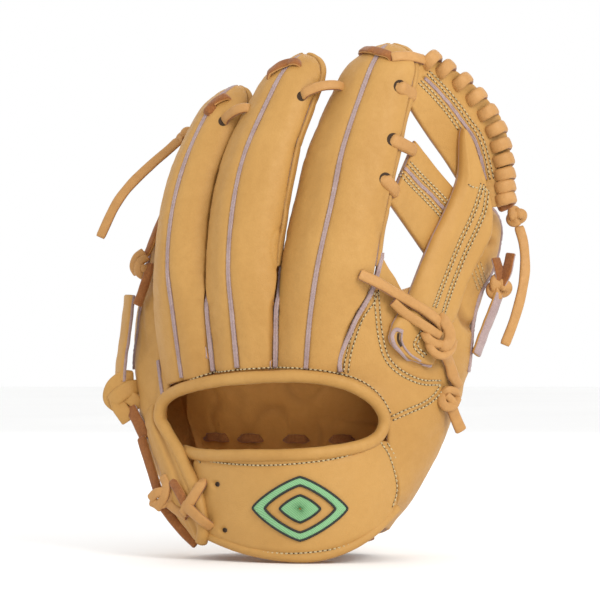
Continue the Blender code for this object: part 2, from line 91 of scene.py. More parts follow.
# The far body of a crossing piece, and where its bend from the hand starts and ends.
THUMB_BEND = ("thumb", (40, 5, 100), (93, 5, 106))
WEB_BEND = ("thumb", (60, 12, 180), (108, 57, 180))
PINKY_BEND = ("pinky", (-65, 50, 95), (-85, 50, 105))

# Back seam x, y, then z, half width, half depth and turn in degrees away from facing -Y.
STALLS = {
    "pinky": [
        (-88, 78, 95, 29, 14, 72), (-85, 76, 125, 27, 14, 72), (-81, 78, 152, 21, 13.5, 72),
        (-69, 83, 186, 17.5, 13, 70), (-58, 91, 212, 16, 12, 68), (-48, 98, 232, 14, 11, 66),
    ],
    "ring": [
        (-61, 32, 88, 28, 17, 46), (-66, 28, 125, 26, 17, 44), (-69, 28, 152, 20, 16.5, 42),
        (-65.5, 32, 186, 18.5, 16, 42), (-57, 39, 214, 17.5, 15, 42), (-41, 50, 247, 14.5, 13, 42),
    ],
    "middle": [
        (-32, 12, 92, 26, 19, 27), (-35, 7, 125, 25, 18, 28), (-37, 6, 152, 21.5, 17, 30),
        (-34, 9, 186, 22, 16.5, 32), (-27, 16, 214, 21, 15.5, 33), (-5, 30, 262, 17, 13, 35),
    ],
    "index": [
        (2.5, 2, 94, 26, 19, 12), (5, -2, 125, 27, 18.5, 15), (9, -4, 152, 26.5, 18, 18),
        (16.5, -1, 186, 25.5, 17.5, 19), (22.5, 6, 214, 25, 16.5, 21), (41, 22, 267, 19, 14, 24),
    ],
    "thumb": [
        (84, 58, 95, 20, 14, -62), (91, 62, 118, 20, 14, -64), (97, 68, 140, 19, 13.5, -66),
        (104, 74, 160, 18, 13, -68), (108, 80, 184, 15, 11, -68),
    ],
}
RIM_HEIGHTS = {"ring": (89.5, 97.5), "middle": (98, 100), "index": (100, 97)}
ROW = ["pinky", "ring", "middle", "index"]
# Heights, and the angle in degrees at which the index finger's back ends on its right.
INDEX_REACH = ((96, 112, 120, 128, 139, 148), (43, 47, 51, 62, 80, 90))

# Skins given by plan points at rising heights, from the edge nearest the opening round to the palm.
THUMB_SIDE_ROWS = [
    (8, [(43, 24), (45, 33), (46, 42), (45, 51), (43, 59), (40, 66), (36, 71)]),
    (25, [(50, 19), (55, 29), (57, 39), (57, 50), (54, 60), (50, 69), (42, 76)]),
    (40, [(51, 16), (59, 26), (64, 38), (65, 50), (61, 62), (55, 71), (45, 77)]),
    (55, [(46, 12), (59, 21), (70, 34), (73, 49), (69, 62), (62, 71), (49, 74)]),
    (70, [(45, 11), (61, 20), (74, 35), (79, 51), (76, 64), (67, 72), (52, 69)]),
    (84, [(40, 7), (58, 17), (76, 34), (85, 53), (82, 68), (72, 74), (54, 62)]),
    (96, [(20.5, 3.5), (44, 10), (68, 25), (84, 44), (89, 60), (85, 76), (62, 64)]),
    (120, [(26.5, 1.5), (48, 11), (70, 28), (86, 47), (92, 64), (88, 82), (66, 72)]),
    (139, [(36.7, 3.5), (54, 18), (72, 36), (88, 54), (97, 68), (96, 86), (74, 82)]),
    (156, [(41.7, 8), (62, 27), (79, 45), (93, 59), (102, 73), (103, 90), (80, 86)]),
]
PINKY_SIDE_ROWS = [
    (8, [(-48, 37), (-51, 42), (-54, 48), (-55, 55), (-53, 62), (-50, 68), (-46, 71)]),
    (25, [(-51, 33), (-58, 39), (-64, 46), (-66, 54), (-64, 63), (-60, 71), (-52, 75)]),
    (40, [(-56, 33), (-66, 41), (-72, 50), (-74, 59), (-72, 69), (-67, 76), (-57, 79)]),
    (54, [(-62, 36), (-72, 45), (-78, 55), (-79, 65), (-76, 75), (-70, 82), (-57, 83)]),
    (70, [(-71, 44), (-78, 52), (-83, 62), (-84, 73), (-81, 84), (-73, 90), (-56, 84)]),
    (84, [(-70, 41), (-78, 52), (-85, 64), (-86, 77), (-84, 89), (-76, 95), (-54, 79)]),
    (98, [(-68, 44), (-78, 56), (-86, 66), (-88, 78), (-88, 92), (-82, 103), (-58, 82)]),
]
PALM_ROWS = [
    (6, [(-47, 72), (-30, 80), (-10, 85), (8, 84.5), (22, 80), (31, 75), (36, 71), (38, 69)]),
    (35, [(-58, 79), (-44, 83), (-22, 82), (0, 79.5), (20, 79), (34, 79), (44, 78), (47, 77)]),
    (70, [(-58, 85), (-48, 81), (-32, 71), (-10, 62), (10, 59), (28, 60), (45, 66), (54, 71)]),
    (93, [(-54, 77), (-44, 68), (-32, 59.5), (-12, 51), (8, 47), (28, 48), (47, 55), (62, 65)]),
    (122, [(-50, 69), (-43, 61), (-33, 53.5), (-14, 44), (6, 39), (26, 39), (46, 47), (66, 72)]),
    (150, [(-48, 62), (-43, 54), (-35, 46.5), (-18, 38), (2, 33), (22, 31), (42, 34), (60, 58)]),
]
STRAP_ROWS = [              # x, y, then the strap's lower and upper edge
    (-55, 30, 14, 53), (-45, 17, 9, 54), (-28, 4, 3.5, 54), (-9, -5, 0.5, 54),
    (8, -7, 0.5, 55), (24, -4, 5, 58), (38, 5, 13, 62), (50, 17, 24, 60),
]
BINDING_PATH = [
    (-51, 21.5, 9), (-50, 18.4, 14), (-50.4, 18.2, 21), (-52.6, 20.7, 32), (-57.8, 27, 44), (-63.8, 34, 56),
    (-70, 40.5, 66), (-73.4, 45, 73), (-70.5, 41.5, 82), (-60, 30.5, 88), (-40, 15, 92.5), (-14, 3, 94.5),
    (4, -1, 94.5), (22, -2, 91.5), (35, 2, 85), (42, 7.5, 77), (43, 9.5, 69), (38, 5, 62), (26, -3, 58),
    (8, -6.5, 55.5), (-9, -4.5, 54.5), (-28, 4, 54), (-45, 17, 53.5), (-55, 30, 54), (-60, 40, 55),
]
# The rim's flap over the strap's left end: z, then its right edge and its left edge in x and y.
FLAP_ROWS = [
    (8, -48.5, 18.0, -53.5, 42), (14, -47.5, 16.8, -58, 42), (21, -47.9, 17.0, -63.5, 43),
    (32, -50.0, 19.5, -69.5, 46), (44, -55.3, 26.0, -72.6, 49), (56, -61.5, 33.0, -76.5, 52),
    (64, -66.0, 37.0, -79.3, 55), (70, -69.6, 41.5, -80.2, 58), (77, -71.6, 46.0, -79.0, 61),
    (85, -69.0, 52.0, -75.0, 66),
]
# The web's outlines in x and z.
WEB_POST_LEFT = [
    (85.2, 223.6), (84.4, 218), (84.2, 205), (82.7, 194.8), (76, 178.6), (69.8, 166), (66.3, 157.8),
    (57.5, 137.7), (51.4, 127), (47, 118), (47.3, 112), (51.5, 107), (57.5, 103),
]
WEB_POST_RIGHT = [
    (86.6, 223.6), (90.6, 217.5), (94.1, 207.8), (96.9, 199.5), (99.6, 190), (101.6, 180), (101, 168),
    (93.4, 152.9), (87.5, 140), (83.3, 127.8), (77.6, 116), (73.5, 107), (69, 99.5),
]
UPPER_BAR_TOP = [
    (62.5, 262), (77, 256.8), (89.5, 248.8), (99.5, 238.8), (107.3, 227), (111.3, 210.5), (112.2, 196),
    (110, 184),
]
UPPER_BAR_LOW = [(57, 235.5), (62.5, 227), (69.3, 217.2), (76.5, 207.5), (83, 197.5), (93, 181)]
LOWER_BAR_TOP = [(60.5, 216.5), (70.5, 204.5), (81, 192.5), (93, 181)]
LOWER_BAR_LOW = [(47, 184), (57, 170.5), (67, 156.5), (76, 144)]
# The free ends of the two tip laces.
PINKY_TAIL = [
    (-64.8, 87, 219), (-70, 84, 214), (-79, 80, 206), (-90, 76, 195), (-98, 74, 184), (-106, 73, 167),
]
THUMB_TAIL = [
    (116, 71.5, 172.8), (118.5, 70, 163), (119, 68, 150), (117, 66, 137), (113, 64, 123), (108, 63, 110),
]


# ---------------------------------------------------------------- shapes

def world(points):
    return (np.asarray(points, float) - ORIGIN) * MM


def hermite(t, first, slope, second, next_slope, step=1.0):
    """A smooth curve from the first value to the second, at shares t of the step between them."""
    return (
        (2 * t**3 - 3 * t**2 + 1) * first
        + (t**3 - 2 * t**2 + t) * slope * step
        + (3 * t**2 - 2 * t**3) * second
        + (t**3 - t**2) * next_slope * step
    )


def along(rows, at):
    """Values on a smooth curve through rows of (position, values...), at an array of positions."""
    rows = np.asarray(rows, float)
    spots, values = rows[:, 0], rows[:, 1:]
    last = len(rows) - 1
    before = np.maximum(np.arange(last + 1) - 1, 0)
    after = np.minimum(np.arange(last + 1) + 1, last)
    slope = (values[after] - values[before]) / (spots[after] - spots[before])[:, None]
    at = np.asarray(at, float)
    i = np.clip(np.searchsorted(spots, at, side="right") - 1, 0, last - 1)
    step = spots[i + 1] - spots[i]
    t = ((at - spots[i]) / step)[..., None]
    return hermite(t, values[i], slope[i], values[i + 1], slope[i + 1], step[..., None])


def smooth_path(points, count):
    """Points on a smooth curve through given points, evenly spaced along it."""
    points = np.asarray(points, float)
    rows = np.column_stack([np.arange(len(points)), points])
    fine = along(rows, np.linspace(0, len(points) - 1, 20 * len(points)))
    return evenly(fine, count)


def evenly(path, count):
    path = np.asarray(path, float)
    gone = np.concatenate([[0], np.cumsum(np.linalg.norm(np.diff(path, axis=0), axis=1))])
    at = np.linspace(0, gone[-1], count)
    return np.column_stack([np.interp(at, gone, path[:, k]) for k in range(path.shape[1])])


def length_of(path):
    return float(np.linalg.norm(np.diff(np.asarray(path, float), axis=0), axis=1).sum())


def unit(v):
    return v / np.maximum(np.linalg.norm(v, axis=-1, keepdims=True), 1e-9)


def ease(t):
    t = np.clip(t, 0, 1)
    return t * t * (3 - 2 * t)


def bump(distance, width):
    return np.exp(-(distance / width) ** 2)


def ripple(points, size, seed, waves=12):
    """Smooth wandering values, mostly between -1 and 1, with features of this size in mm."""
    draw = np.random.default_rng(seed)
    total = np.zeros(points.shape[:-1])
    for _ in range(waves):
        direction = unit(draw.normal(size=3))
        wave = size * draw.uniform(0.7, 1.6)
        total += np.sin(points @ direction * (2 * math.pi / wave) + draw.uniform(0, 2 * math.pi))
    return total / math.sqrt(2 * waves)


def creases(points, size, seed, sharp=0.16):
    """Thin wandering valleys: -1 along them and 0 between them."""
    return -bump(ripple(points, size, seed), sharp)


def stall_at(name, height):
    """A stall's section at a height: its centre, the directions across and out, half width and depth."""
    table = [(s[2], s[0], s[1], s[3], s[4], s[5]) for s in STALLS[name]]
    x, y, wide, deep, turn = np.moveaxis(along(table, np.minimum(height, table[-1][0])), -1, 0)
    turn = np.radians(turn)
    zero = np.zeros_like(x)
    normal = np.stack([-np.sin(turn), -np.cos(turn), zero], -1)
    across = np.stack([np.cos(turn), -np.sin(turn), zero], -1)
    crown = np.stack([x, y, np.broadcast_to(height, x.shape)], -1)
    return crown - normal * deep[..., None], across, normal, wide, deep


def top_of(name):
    return STALLS[name][-1][2]


def seam_between(left, right, height):
    a, b = stall_at(left, height), stall_at(right, height)
    share = (a[3] / (a[3] + b[3]))[..., None]
    return a[0] * (1 - share) + b[0] * share, unit(b[0] - a[0])


def keep_apart(name, point):
    """Moves a finger's skin points back to its own side of the seams with its neighbours."""
    if name not in ROW:
        return point
    at = ROW.index(name)
    for other, sign in ((at - 1, -1), (at + 1, 1)):
        if not 0 <= other < len(ROW):
            continue
        pair = (name, ROW[other]) if sign > 0 else (ROW[other], name)
        middle, toward = seam_between(*pair, point[..., 2])
        past = ((point - middle) * toward).sum(-1) * sign + SEAM_GAP / 2
        past = np.where(point[..., 2] > min(top_of(pair[0]), top_of(pair[1])), 0, np.maximum(past, 0))
        point = point - toward * (sign * past)[..., None]
    return point


def skin(name, height, angle, inset=0.0):
    """Points on a stall's skin; the angle is in degrees from its back seam, positive to the thumb."""
    height, angle = np.broadcast_arrays(np.asarray(height, float), np.asarray(angle, float))
    start = top_of(name) - TIP_DOME
    t = np.clip((height - start) / TIP_DOME, 0, 1)
    share = np.sqrt(1 - t * t)
    level = np.where(height > start, start + t * (TIP_DOME - inset), height)
    centre, across, normal, wide, deep = stall_at(name, level)
    turn = np.radians(angle)
    side = np.maximum(wide * share - inset, 0.3 * wide * share) * np.sin(turn)
    out = np.maximum(deep * share - inset, 0.3 * deep * share) * np.cos(turn)
    return keep_apart(name, centre + across * side[..., None] + normal * out[..., None])


def side_limit(name, side, height):
    """The angle at which a finger's back ends, on its left (-1) or right (+1) side."""
    low = np.minimum(height, FORK_HEIGHT)
    at = ROW.index(name) + side
    if name == "index" and side > 0:
        hand = np.interp(low, *INDEX_REACH)
    elif 0 <= at < len(ROW):
        pair = (name, ROW[at]) if side > 0 else (ROW[at], name)
        middle, _ = seam_between(*pair, low)
        centre, _, _, wide, _ = stall_at(name, low)
        reach = np.linalg.norm(middle - centre, axis=-1) / wide
        hand = SEAM_TUCK + np.degrees(np.arcsin(np.minimum(1, reach)))
    else:
        hand = np.full_like(low, 90.0)
    return hand + (90 - hand) * ease((height - SIDES_SQUARE) / (FORK_HEIGHT - SIDES_SQUARE))


def plan_points(rows, height):
    """The x and the y of each plan point of a skin, at an array of heights."""
    flat = [(z, *(value for point in points for value in point)) for z, points in rows]
    values = along(flat, height)
    return values[..., 0::2], values[..., 1::2]


def plan_skin(rows, height, share):
    """Points on a skin that is given by plan points at heights; share runs along each row."""
    count = len(rows[0][1])
    at = share * (count - 1)
    i = np.clip(at.astype(int), 0, count - 2)
    found = []
    for values in plan_points(rows, height):
        before, first, second, after = (
            np.take_along_axis(values, np.clip(i + k, 0, count - 1)[..., None], -1)[..., 0]
            for k in (-1, 0, 1, 2)
        )
        slope = np.where(i > 0, (second - before) / 2, second - first)
        next_slope = np.where(i < count - 2, (after - first) / 2, second - first)
        found.append(hermite(at - i, first, slope, second, next_slope))
    return np.stack([*found, height], -1)


def web_depth(x, z):
    """How far back the web lies: level with the index stall, then curving back to the thumb."""
    span, bottom = 54, 186
    edge_x = 46 + (z - bottom) * 0.135
    edge_y = 9 + np.maximum(0, z - bottom) * 0.22
    reach = np.clip((x - edge_x) / span, 0, 1)
    return edge_y + (57 - edge_y) * (1 - (1 - reach) ** 1.6) + np.maximum(0, x - edge_x - span) * 0.3


# ---------------------------------------------------------------- meshes

def grid_faces(rows, cols, wrap=False):
    i = np.arange(rows - 1)[:, None]
    j = np.arange(cols if wrap else cols - 1)[None, :]
    a = i * cols + j
    b = i * cols + (j + 1) % cols
    return np.stack([a, b, b + cols, a + cols], -1).reshape(-1, 4)


def grid_normals(face, wrap=False):
    if wrap:
        across = np.roll(face, -1, 1) - np.roll(face, 1, 1)
    else:
        across = np.gradient(face, axis=1)
    return unit(np.cross(np.gradient(face, axis=0), across))


def normals_toward(face, facing, wrap=False):
    """The normals of a grid of points, on the side that mostly faces this way."""
    normal = grid_normals(face, wrap)
    return -normal if (normal * facing).sum(-1).mean() < 0 else normal


def shown_name(name):
    """A piece keeps its plain name, unless a CAD node or an earlier part has it."""
    return f"{name}_detailed" if name in bpy.data.objects else name


def make(name, points, faces, looks, face_looks=None, relief=None):
    """A mesh piece from points in mm, with the values its materials read."""
    mesh = bpy.data.meshes.new(name)
    mesh.from_pydata(world(points).tolist(), [], [list(map(int, f)) for f in faces])
    for look in looks:
        mesh.materials.append(look)
    if face_looks is not None:
        mesh.polygons.foreach_set("material_index", np.asarray(face_looks, np.int32))
    rest = mesh.attributes.new("rest", "FLOAT_VECTOR", "POINT")
    rest.data.foreach_set("vector", world(points).astype(np.float32).ravel())
    # relief: the height that the leather material paints as shade in dips and highlight on rises
    height = mesh.attributes.new("relief", "FLOAT", "POINT")
    values = np.zeros(len(points)) if relief is None else np.asarray(relief, float).ravel()
    height.data.foreach_set("value", values.astype(np.float32))
    mesh.shade_smooth()
    mesh.update()
    made = bpy.data.objects.new(shown_name(name), mesh)
    bpy.context.scene.collection.objects.link(made)
    MADE[name] = made
    return made


def samples(count, length, lip):
    """Shares from 0 to 1, closer together by both ends, where an edge rounds over."""
    near = lip * (1 - np.cos(np.linspace(0, math.pi / 2, 5))) / length
    near = near[near < 0.3]
    return np.concatenate([near[:-1], np.linspace(near[-1], 1 - near[-1], count), (1 - near[:-1])[::-1]])


def slab(name, surface, counts, looks, facing=AWAY, thick=LEATHER, lip=1.4, relief=None, back=None,
         wrap=False):
    """A leather panel with rounded edges: surface(u, v) gives its outer face, relief its height.

    looks are the outer face, the cut edge and the inner face. relief(points, u, v) is in mm.
    """
    coarse_u, coarse_v = np.meshgrid(np.linspace(0, 1, 12), np.linspace(0, 1, 12), indexing="ij")
    coarse = surface(coarse_u, coarse_v)
    long_u = np.linalg.norm(np.diff(coarse, axis=0), axis=-1).sum(0).mean()
    long_v = np.linalg.norm(np.diff(coarse, axis=1), axis=-1).sum(1).mean()
    us = samples(counts[0], long_u, lip)
    vs = np.linspace(0, 1, counts[1], endpoint=False) if wrap else samples(counts[1], long_v, lip)
    u, v = np.meshgrid(us, vs, indexing="ij")
    face = surface(u, v)
    normal = normals_toward(face, facing, wrap)
    edge = np.minimum(u, 1 - u) * long_u
    if not wrap:
        edge = np.minimum(edge, np.minimum(v, 1 - v) * long_v)
    fall = lip * (1 - np.sqrt(np.clip(1 - (1 - np.minimum(edge / lip, 1)) ** 2, 0, 1)))
    height = relief(face, u, v) if relief else np.zeros_like(u)
    outer = face + normal * (height - fall)[..., None]
    under = np.full_like(u, thick) if back is None else back(face, u, v)
    inner = face - normal * (under - fall)[..., None]
    rows, cols = u.shape
    front = grid_faces(rows, cols, wrap)
    behind = front[:, ::-1] + rows * cols
    rim = rim_faces(rows, cols, wrap)
    faces = np.concatenate([front, behind, rim])
    if not faces_away(outer, inner, front):
        faces = faces[:, ::-1]
    kinds = np.concatenate([np.zeros(len(front)), np.full(len(behind), 2), np.ones(len(rim))])
    # The height that the leather paints: painted shade in dips and on the rounded edges, painted highlight on
    # rises, and a touch of painted shade over the inner face.
    tone = np.concatenate([(height - fall * 0.35).ravel(), np.full(rows * cols, -0.3)])
    points = np.concatenate([outer.reshape(-1, 3), inner.reshape(-1, 3)])
    return make(name, points, faces, looks, kinds, tone)


def faces_away(outer, inner, front):
    """Whether the front faces turn away from the inner points."""
    flat = outer.reshape(-1, 3)
    quad = flat[front]
    turn = np.cross(quad[:, 2] - quad[:, 0], quad[:, 3] - quad[:, 1])
    away = flat[front[:, 0]] - inner.reshape(-1, 3)[front[:, 0]]
    return (turn * away).sum() >= 0


def rim_faces(rows, cols, wrap):
    """The faces that join a grid's edges to those of its copy behind it."""
    back = rows * cols
    found = []
    for row, turn in ((0, 1), (rows - 1, -1)):
        for j in range(cols if wrap else cols - 1):
            a, b = row * cols + j, row * cols + (j + 1) % cols
            found.append((b, a, a + back, b + back)[::turn])
    if not wrap:
        for col, turn in ((0, 1), (cols - 1, -1)):
            for i in range(rows - 1):
                a, b = i * cols + col, (i + 1) * cols + col
                found.append((a, b, b + back, a + back)[::turn])
    return np.array(found)


def sweep(name, path, facing, profile, looks, under=None, size=1.0):
    """A profile drawn along a path, its second axis toward facing; under marks the second look."""
    path = np.asarray(path, float)
    facing = np.broadcast_to(np.asarray(facing, float), path.shape)
    tangent = unit(np.gradient(path, axis=0))
    up = unit(facing - tangent * (facing * tangent).sum(-1, keepdims=True))
    side = np.cross(tangent, up)
    size = np.broadcast_to(np.asarray(size, float), (len(path),))[:, None, None]
    profile = np.asarray(profile, float)
    rings = path[:, None] + (side[:, None] * profile[None, :, :1] + up[:, None] * profile[None, :, 1:]) * size
    count = len(profile)
    faces = grid_faces(len(path), count, True)
    kinds, cap = np.zeros(len(faces)), 0
    if under is not None:
        kinds, cap = np.tile(np.asarray(under, float), len(path) - 1), 1
    points = rings.reshape(-1, 3)
    quads = faces.tolist()
    caps = [list(range(count))[::-1], list(range(len(points) - count, len(points)))]
    if ring_turns_in(rings[0], tangent[0]):
        quads = [q[::-1] for q in quads]
        caps = [c[::-1] for c in caps]
    return make(name, points, quads + caps, looks, [*kinds, cap, cap])


def ring_turns_in(ring, tangent):
    area = np.cross(ring - ring.mean(0), np.roll(ring, -1, 0) - ring.mean(0)).sum(0)
    return bool((area * tangent).sum() > 0)


def oval(width, thick, count=12):
    turn = np.linspace(0, 2 * math.pi, count, endpoint=False)
    return np.column_stack([np.cos(turn) * width / 2, np.sin(turn) * thick / 2])


def strip(width=LACE_WIDTH, thick=LACE_THICK):
    """A flat lace's section, with softened corners, and which of its sides are suede."""
    w, t, r = width / 2, thick / 2, thick * 0.28
    crown = thick * 0.12
    points = [
        (w, -t + r), (w, t - r), (w - r, t), (w / 2, t + crown * 0.7), (0, t + crown),
        (-w / 2, t + crown * 0.7), (-w + r, t), (-w, t - r), (-w, -t + r), (-w + r, -t), (0, -t),
        (w - r, -t),
    ]
    suede = [1, 0, 0, 0, 0, 0, 0, 1, 1, 1, 1, 1]
    return np.array(points), suede


def lace(name, points, facing, count=60, width=LACE_WIDTH, thick=LACE_THICK, looks=None, suede_up=False):
    """A flat lace through given points; facing is one direction, or one for each point."""
    points = np.asarray(points, float)
    facing = np.asarray(facing, float)
    if facing.ndim == 1:
        facing = np.tile(facing, (len(points), 1))
    both = smooth_path(np.column_stack([points, facing]), count)
    path, up = both[:, :3], unit(both[:, 3:])
    profile, suede = strip(width, thick)
    if suede_up:
        suede = [1 - s for s in suede]
    wobble = 1 + 0.045 * ripple(path, 9, len(name), 6)
    ends = np.minimum(np.arange(count), np.arange(count)[::-1])
    wobble = wobble * np.where(ends == 0, 0.86, 1)
    return sweep(name, path, up, profile, looks or LACE, suede, wobble)


def joined(name, parts):
    """One piece from several, keeping the values that the materials read."""
    shown = shown_name(name)
    bpy.ops.object.select_all(action="DESELECT")
    for part in parts:
        part.select_set(True)
    bpy.context.view_layer.objects.active = parts[0]
    bpy.ops.object.join()
    parts[0].name = shown
    MADE[name] = parts[0]
    return parts[0]


def piece(name):
    return MADE[name]


def surface_of(*objects):
    """A lookup for points on these pieces' skins, in mm."""
    points, faces = [], []
    for o in objects:
        base = len(points)
        points += [Vector(v.co) / MM + Vector(ORIGIN) for v in o.data.vertices]
        faces += [[base + k for k in p.vertices] for p in o.data.polygons]
    return BVHTree.FromPolygons(points, faces)


def drape(tree, outline, count, lift=0.0, ray=(0, 1, 0), slack=0.0):
    """Points of an (x, z) outline laid on a skin along the ray, and the skin's normals there."""
    flat = smooth_path(outline, count)
    direction = Vector(ray)
    found, normals = [], []
    for x, z in flat:
        start = Vector((x, 0, z)) - direction * FAR
        spot, normal, _, _ = tree.ray_cast(start, direction)
        if spot is None:
            spot, normal, _, _ = tree.find_nearest(Vector((x, 20, z)))
        if normal.dot(direction) > 0:
            normal = -normal
        found.append(spot)
        normals.append(normal)
    found, normals = np.array(found), np.array(normals)
    for _ in range(3):
        normals[1:-1] = (normals[:-2] + 2 * normals[1:-1] + normals[2:]) / 4
    normals = unit(normals)
    return found + normals * lift, normals


def stitches(name, rows, looks, pitch=2.7, thread=0.5, pull=0.08):
    """Rows of stitches: a thread over each length of leather and, between them, a dark bead that paints the
    shade in the stitch hole.
    """
    points, faces, kinds = [], [], []
    ring, sides = 5, 6
    end_gap = 0.2
    turn = np.linspace(0, 2 * math.pi, sides, endpoint=False)
    for path, normals in rows:
        count = max(2, round(length_of(path) / pitch) + 1)
        both = evenly(np.column_stack([path, normals]), count)
        spots, ups = both[:, :3], unit(both[:, 3:])
        for k in range(count - 1):
            a, b = spots[k], spots[k + 1]
            up = unit(ups[k] + ups[k + 1])
            line = b - a
            a, b = a + line * end_gap, b - line * end_gap
            side = unit(np.cross(line, up))
            base = len(points)
            for t in np.linspace(0, 1, ring):
                arch = math.sin(math.pi * t)
                middle = a * (1 - t) + b * t + up * (thread * 0.75 * arch - pull)
                wide = thread * (0.62 + 0.38 * arch)
                points += list(middle + wide * (np.cos(turn)[:, None] * side + np.sin(turn)[:, None] * up))
            shell = grid_faces(ring, sides, True) + base
            faces += shell.tolist()
            faces += [[base + n for n in range(sides)][::-1]]
            faces += [[base + (ring - 1) * sides + n for n in range(sides)]]
            kinds += [0] * (len(shell) + 2)
        # painted shade of each stitch hole: a small dark bead on the skin
        for k in range(count):
            tangent = spots[min(k + 1, count - 1)] - spots[max(k - 1, 0)]
            side = unit(np.cross(tangent, ups[k]))
            ahead = unit(tangent)
            base = len(points)
            radius = thread * 0.84
            points += list(spots[k] + ups[k] * 0.07
                           + radius * (np.cos(turn)[:, None] * side + np.sin(turn)[:, None] * ahead))
            points.append(spots[k] + ups[k] * 0.1)
            points.append(spots[k] - ups[k] * 0.25)
            for n in range(sides):
                m = (n + 1) % sides
                faces += [[base + m, base + n, base + sides], [base + n, base + m, base + sides + 1]]
            kinds += [1] * (2 * sides)
    return make(name, np.array(points), faces, looks, kinds)


def away_from(points, outline):
    """Distance in x and z from each point to an outline, in mm."""
    line = smooth_path(outline, 60)
    flat = points[..., [0, 2]]
    gap = np.full(flat.shape[:-1], 1e9)
    for spot in line:
        gap = np.minimum(gap, np.hypot(flat[..., 0] - spot[0], flat[..., 1] - spot[1]))
    return gap


def knot_run(centre, size, axis, side, flat):
    """The run of an overhand knot pulled tight: a trefoil, squashed along its axis, and the axis."""
    axis, side = unit(np.asarray(axis, float)), np.asarray(side, float)
    side = unit(side - axis * (side @ axis))
    other = np.cross(axis, side)
    t = np.linspace(0.35, 2 * math.pi - 0.35, 64)
    a = np.sin(t) + 2 * np.sin(2 * t)
    b = np.cos(t) - 2 * np.cos(2 * t)
    c = -np.sin(3 * t) * flat
    run = a[:, None] * side + b[:, None] * other + c[:, None] * axis
    return np.asarray(centre, float) + size / 3 * run, axis


# ---------------------------------------------------------------- materials

def nodes_of(name):
    made = bpy.data.materials.new(name)
    made.use_nodes = True
    tree = made.node_tree
    return made, tree, tree.nodes["Principled BSDF"]


def add(tree, kind, **values):
    node = tree.nodes.new(kind)
    for key, value in values.items():
        if key in node.inputs:
            node.inputs[key].default_value = value
        else:
            setattr(node, key, value)
    return node


def stored(tree, name, output):
    """A value that make() stored with the mesh."""
    return add(tree, "ShaderNodeAttribute", attribute_name=name).outputs[output]


def noise(tree, place, scale, detail=3.0, rough=0.55):
    node = add(tree, "ShaderNodeTexNoise", Scale=scale, Detail=detail, Roughness=rough)
    tree.links.new(place, node.inputs["Vector"])
    return node.outputs["Fac"]


def scaled_sum(tree, value, factor, other):
    node = add(tree, "ShaderNodeMath", operation="MULTIPLY_ADD")
    tree.links.new(value, node.inputs[0])
    node.inputs[1].default_value = factor
    tree.links.new(other, node.inputs[2])
    return node.outputs[0]


def bumped(tree, shader, height, strength, distance):
    node = add(tree, "ShaderNodeBump", Strength=strength, Distance=distance)
    tree.links.new(height, node.inputs["Height"])
    tree.links.new(node.outputs[0], shader.inputs["Normal"])


def spread(tree, value, low, high, to_low=0.0, to_high=1.0):
    node = add(tree, "ShaderNodeMapRange")
    for key, number in zip(("From Min", "From Max", "To Min", "To Max"), (low, high, to_low, to_high)):
        node.inputs[key].default_value = number
    tree.links.new(value, node.inputs["Value"])
    return node.outputs["Result"]


def mixed(tree, share, first, second, blend="MIX"):
    node = add(tree, "ShaderNodeMix", data_type="RGBA", blend_type=blend)
    for socket, value in ((node.inputs[6], first), (node.inputs[7], second)):
        if isinstance(value, tuple):
            socket.default_value = (*value, 1)
        else:
            tree.links.new(value, socket)
    if isinstance(share, float):
        node.inputs[0].default_value = share
    else:
        tree.links.new(share, node.inputs[0])
    return node.outputs[2]


def hide(name, base, deep, light, rough=0.55, grain=0.16, cell=1250.0, mottle=0.5, sheen=0.03):
    """Leather: slow colour drift, fine mottle, painted shade in dips and painted highlight on rises, grain
    and pores.
    """
    made, tree, shader = nodes_of(name)
    place = stored(tree, "rest", "Vector")
    drift = spread(tree, noise(tree, place, 22.0, 2.0), 0.3, 0.7)
    fine = spread(tree, noise(tree, place, 260.0, 4.0, 0.65), 0.25, 0.75)
    tone = mixed(tree, drift, base, light)
    tone = mixed(tree, spread(tree, fine, 0, 1, 0.0, 0.35 * mottle), tone, deep)
    height = stored(tree, "relief", "Fac")
    # painted shade: dips, creases, seams and rounded edges darkened toward the deep colour
    tone = mixed(tree, spread(tree, height, -0.25, -2.2, 0.0, 0.75), tone, deep)
    # painted highlight: rises lightened toward the light colour
    tone = mixed(tree, spread(tree, height, 0.35, 1.4, 0.0, 0.35), tone, light)
    tree.links.new(tone, shader.inputs["Base Color"])
    pores = add(tree, "ShaderNodeTexVoronoi", Scale=cell)
    tree.links.new(place, pores.inputs["Vector"])
    pebble = spread(tree, pores.outputs["Distance"], 0.0, 0.75)
    grit = noise(tree, place, cell * 2.1, 2.0)
    soft = noise(tree, place, 210.0, 3.0)
    surface = scaled_sum(tree, soft, 2.2, scaled_sum(tree, grit, 0.5, pebble))
    bumped(tree, shader, surface, grain, 0.0006)
    shine = spread(tree, fine, 0, 1, rough - 0.06, rough + 0.1)
    tree.links.new(shine, shader.inputs["Roughness"])
    shader.inputs["Specular IOR Level"].default_value = 0.35
    shader.inputs["Sheen Weight"].default_value = sheen
    shader.inputs["Sheen Roughness"].default_value = 0.5
    return made


def nap(name, base, deep, light, scale=900.0, strength=0.5):
    """Suede, felt and raw leather edges: short fibres, no gloss."""
    made, tree, shader = nodes_of(name)
    place = stored(tree, "rest", "Vector")
    fibre = noise(tree, place, scale, 6.0, 0.7)
    cloud = spread(tree, noise(tree, place, 120.0, 3.0), 0.3, 0.7)
    tone = mixed(tree, cloud, base, light)
    tone = mixed(tree, spread(tree, fibre, 0.35, 0.7, 0.0, 0.7), tone, deep)
    tree.links.new(tone, shader.inputs["Base Color"])
    bumped(tree, shader, fibre, strength, 0.0005)
    shader.inputs["Roughness"].default_value = 0.92
    shader.inputs["Specular IOR Level"].default_value = 0.15
    shader.inputs["Sheen Weight"].default_value = 0.25
    return made


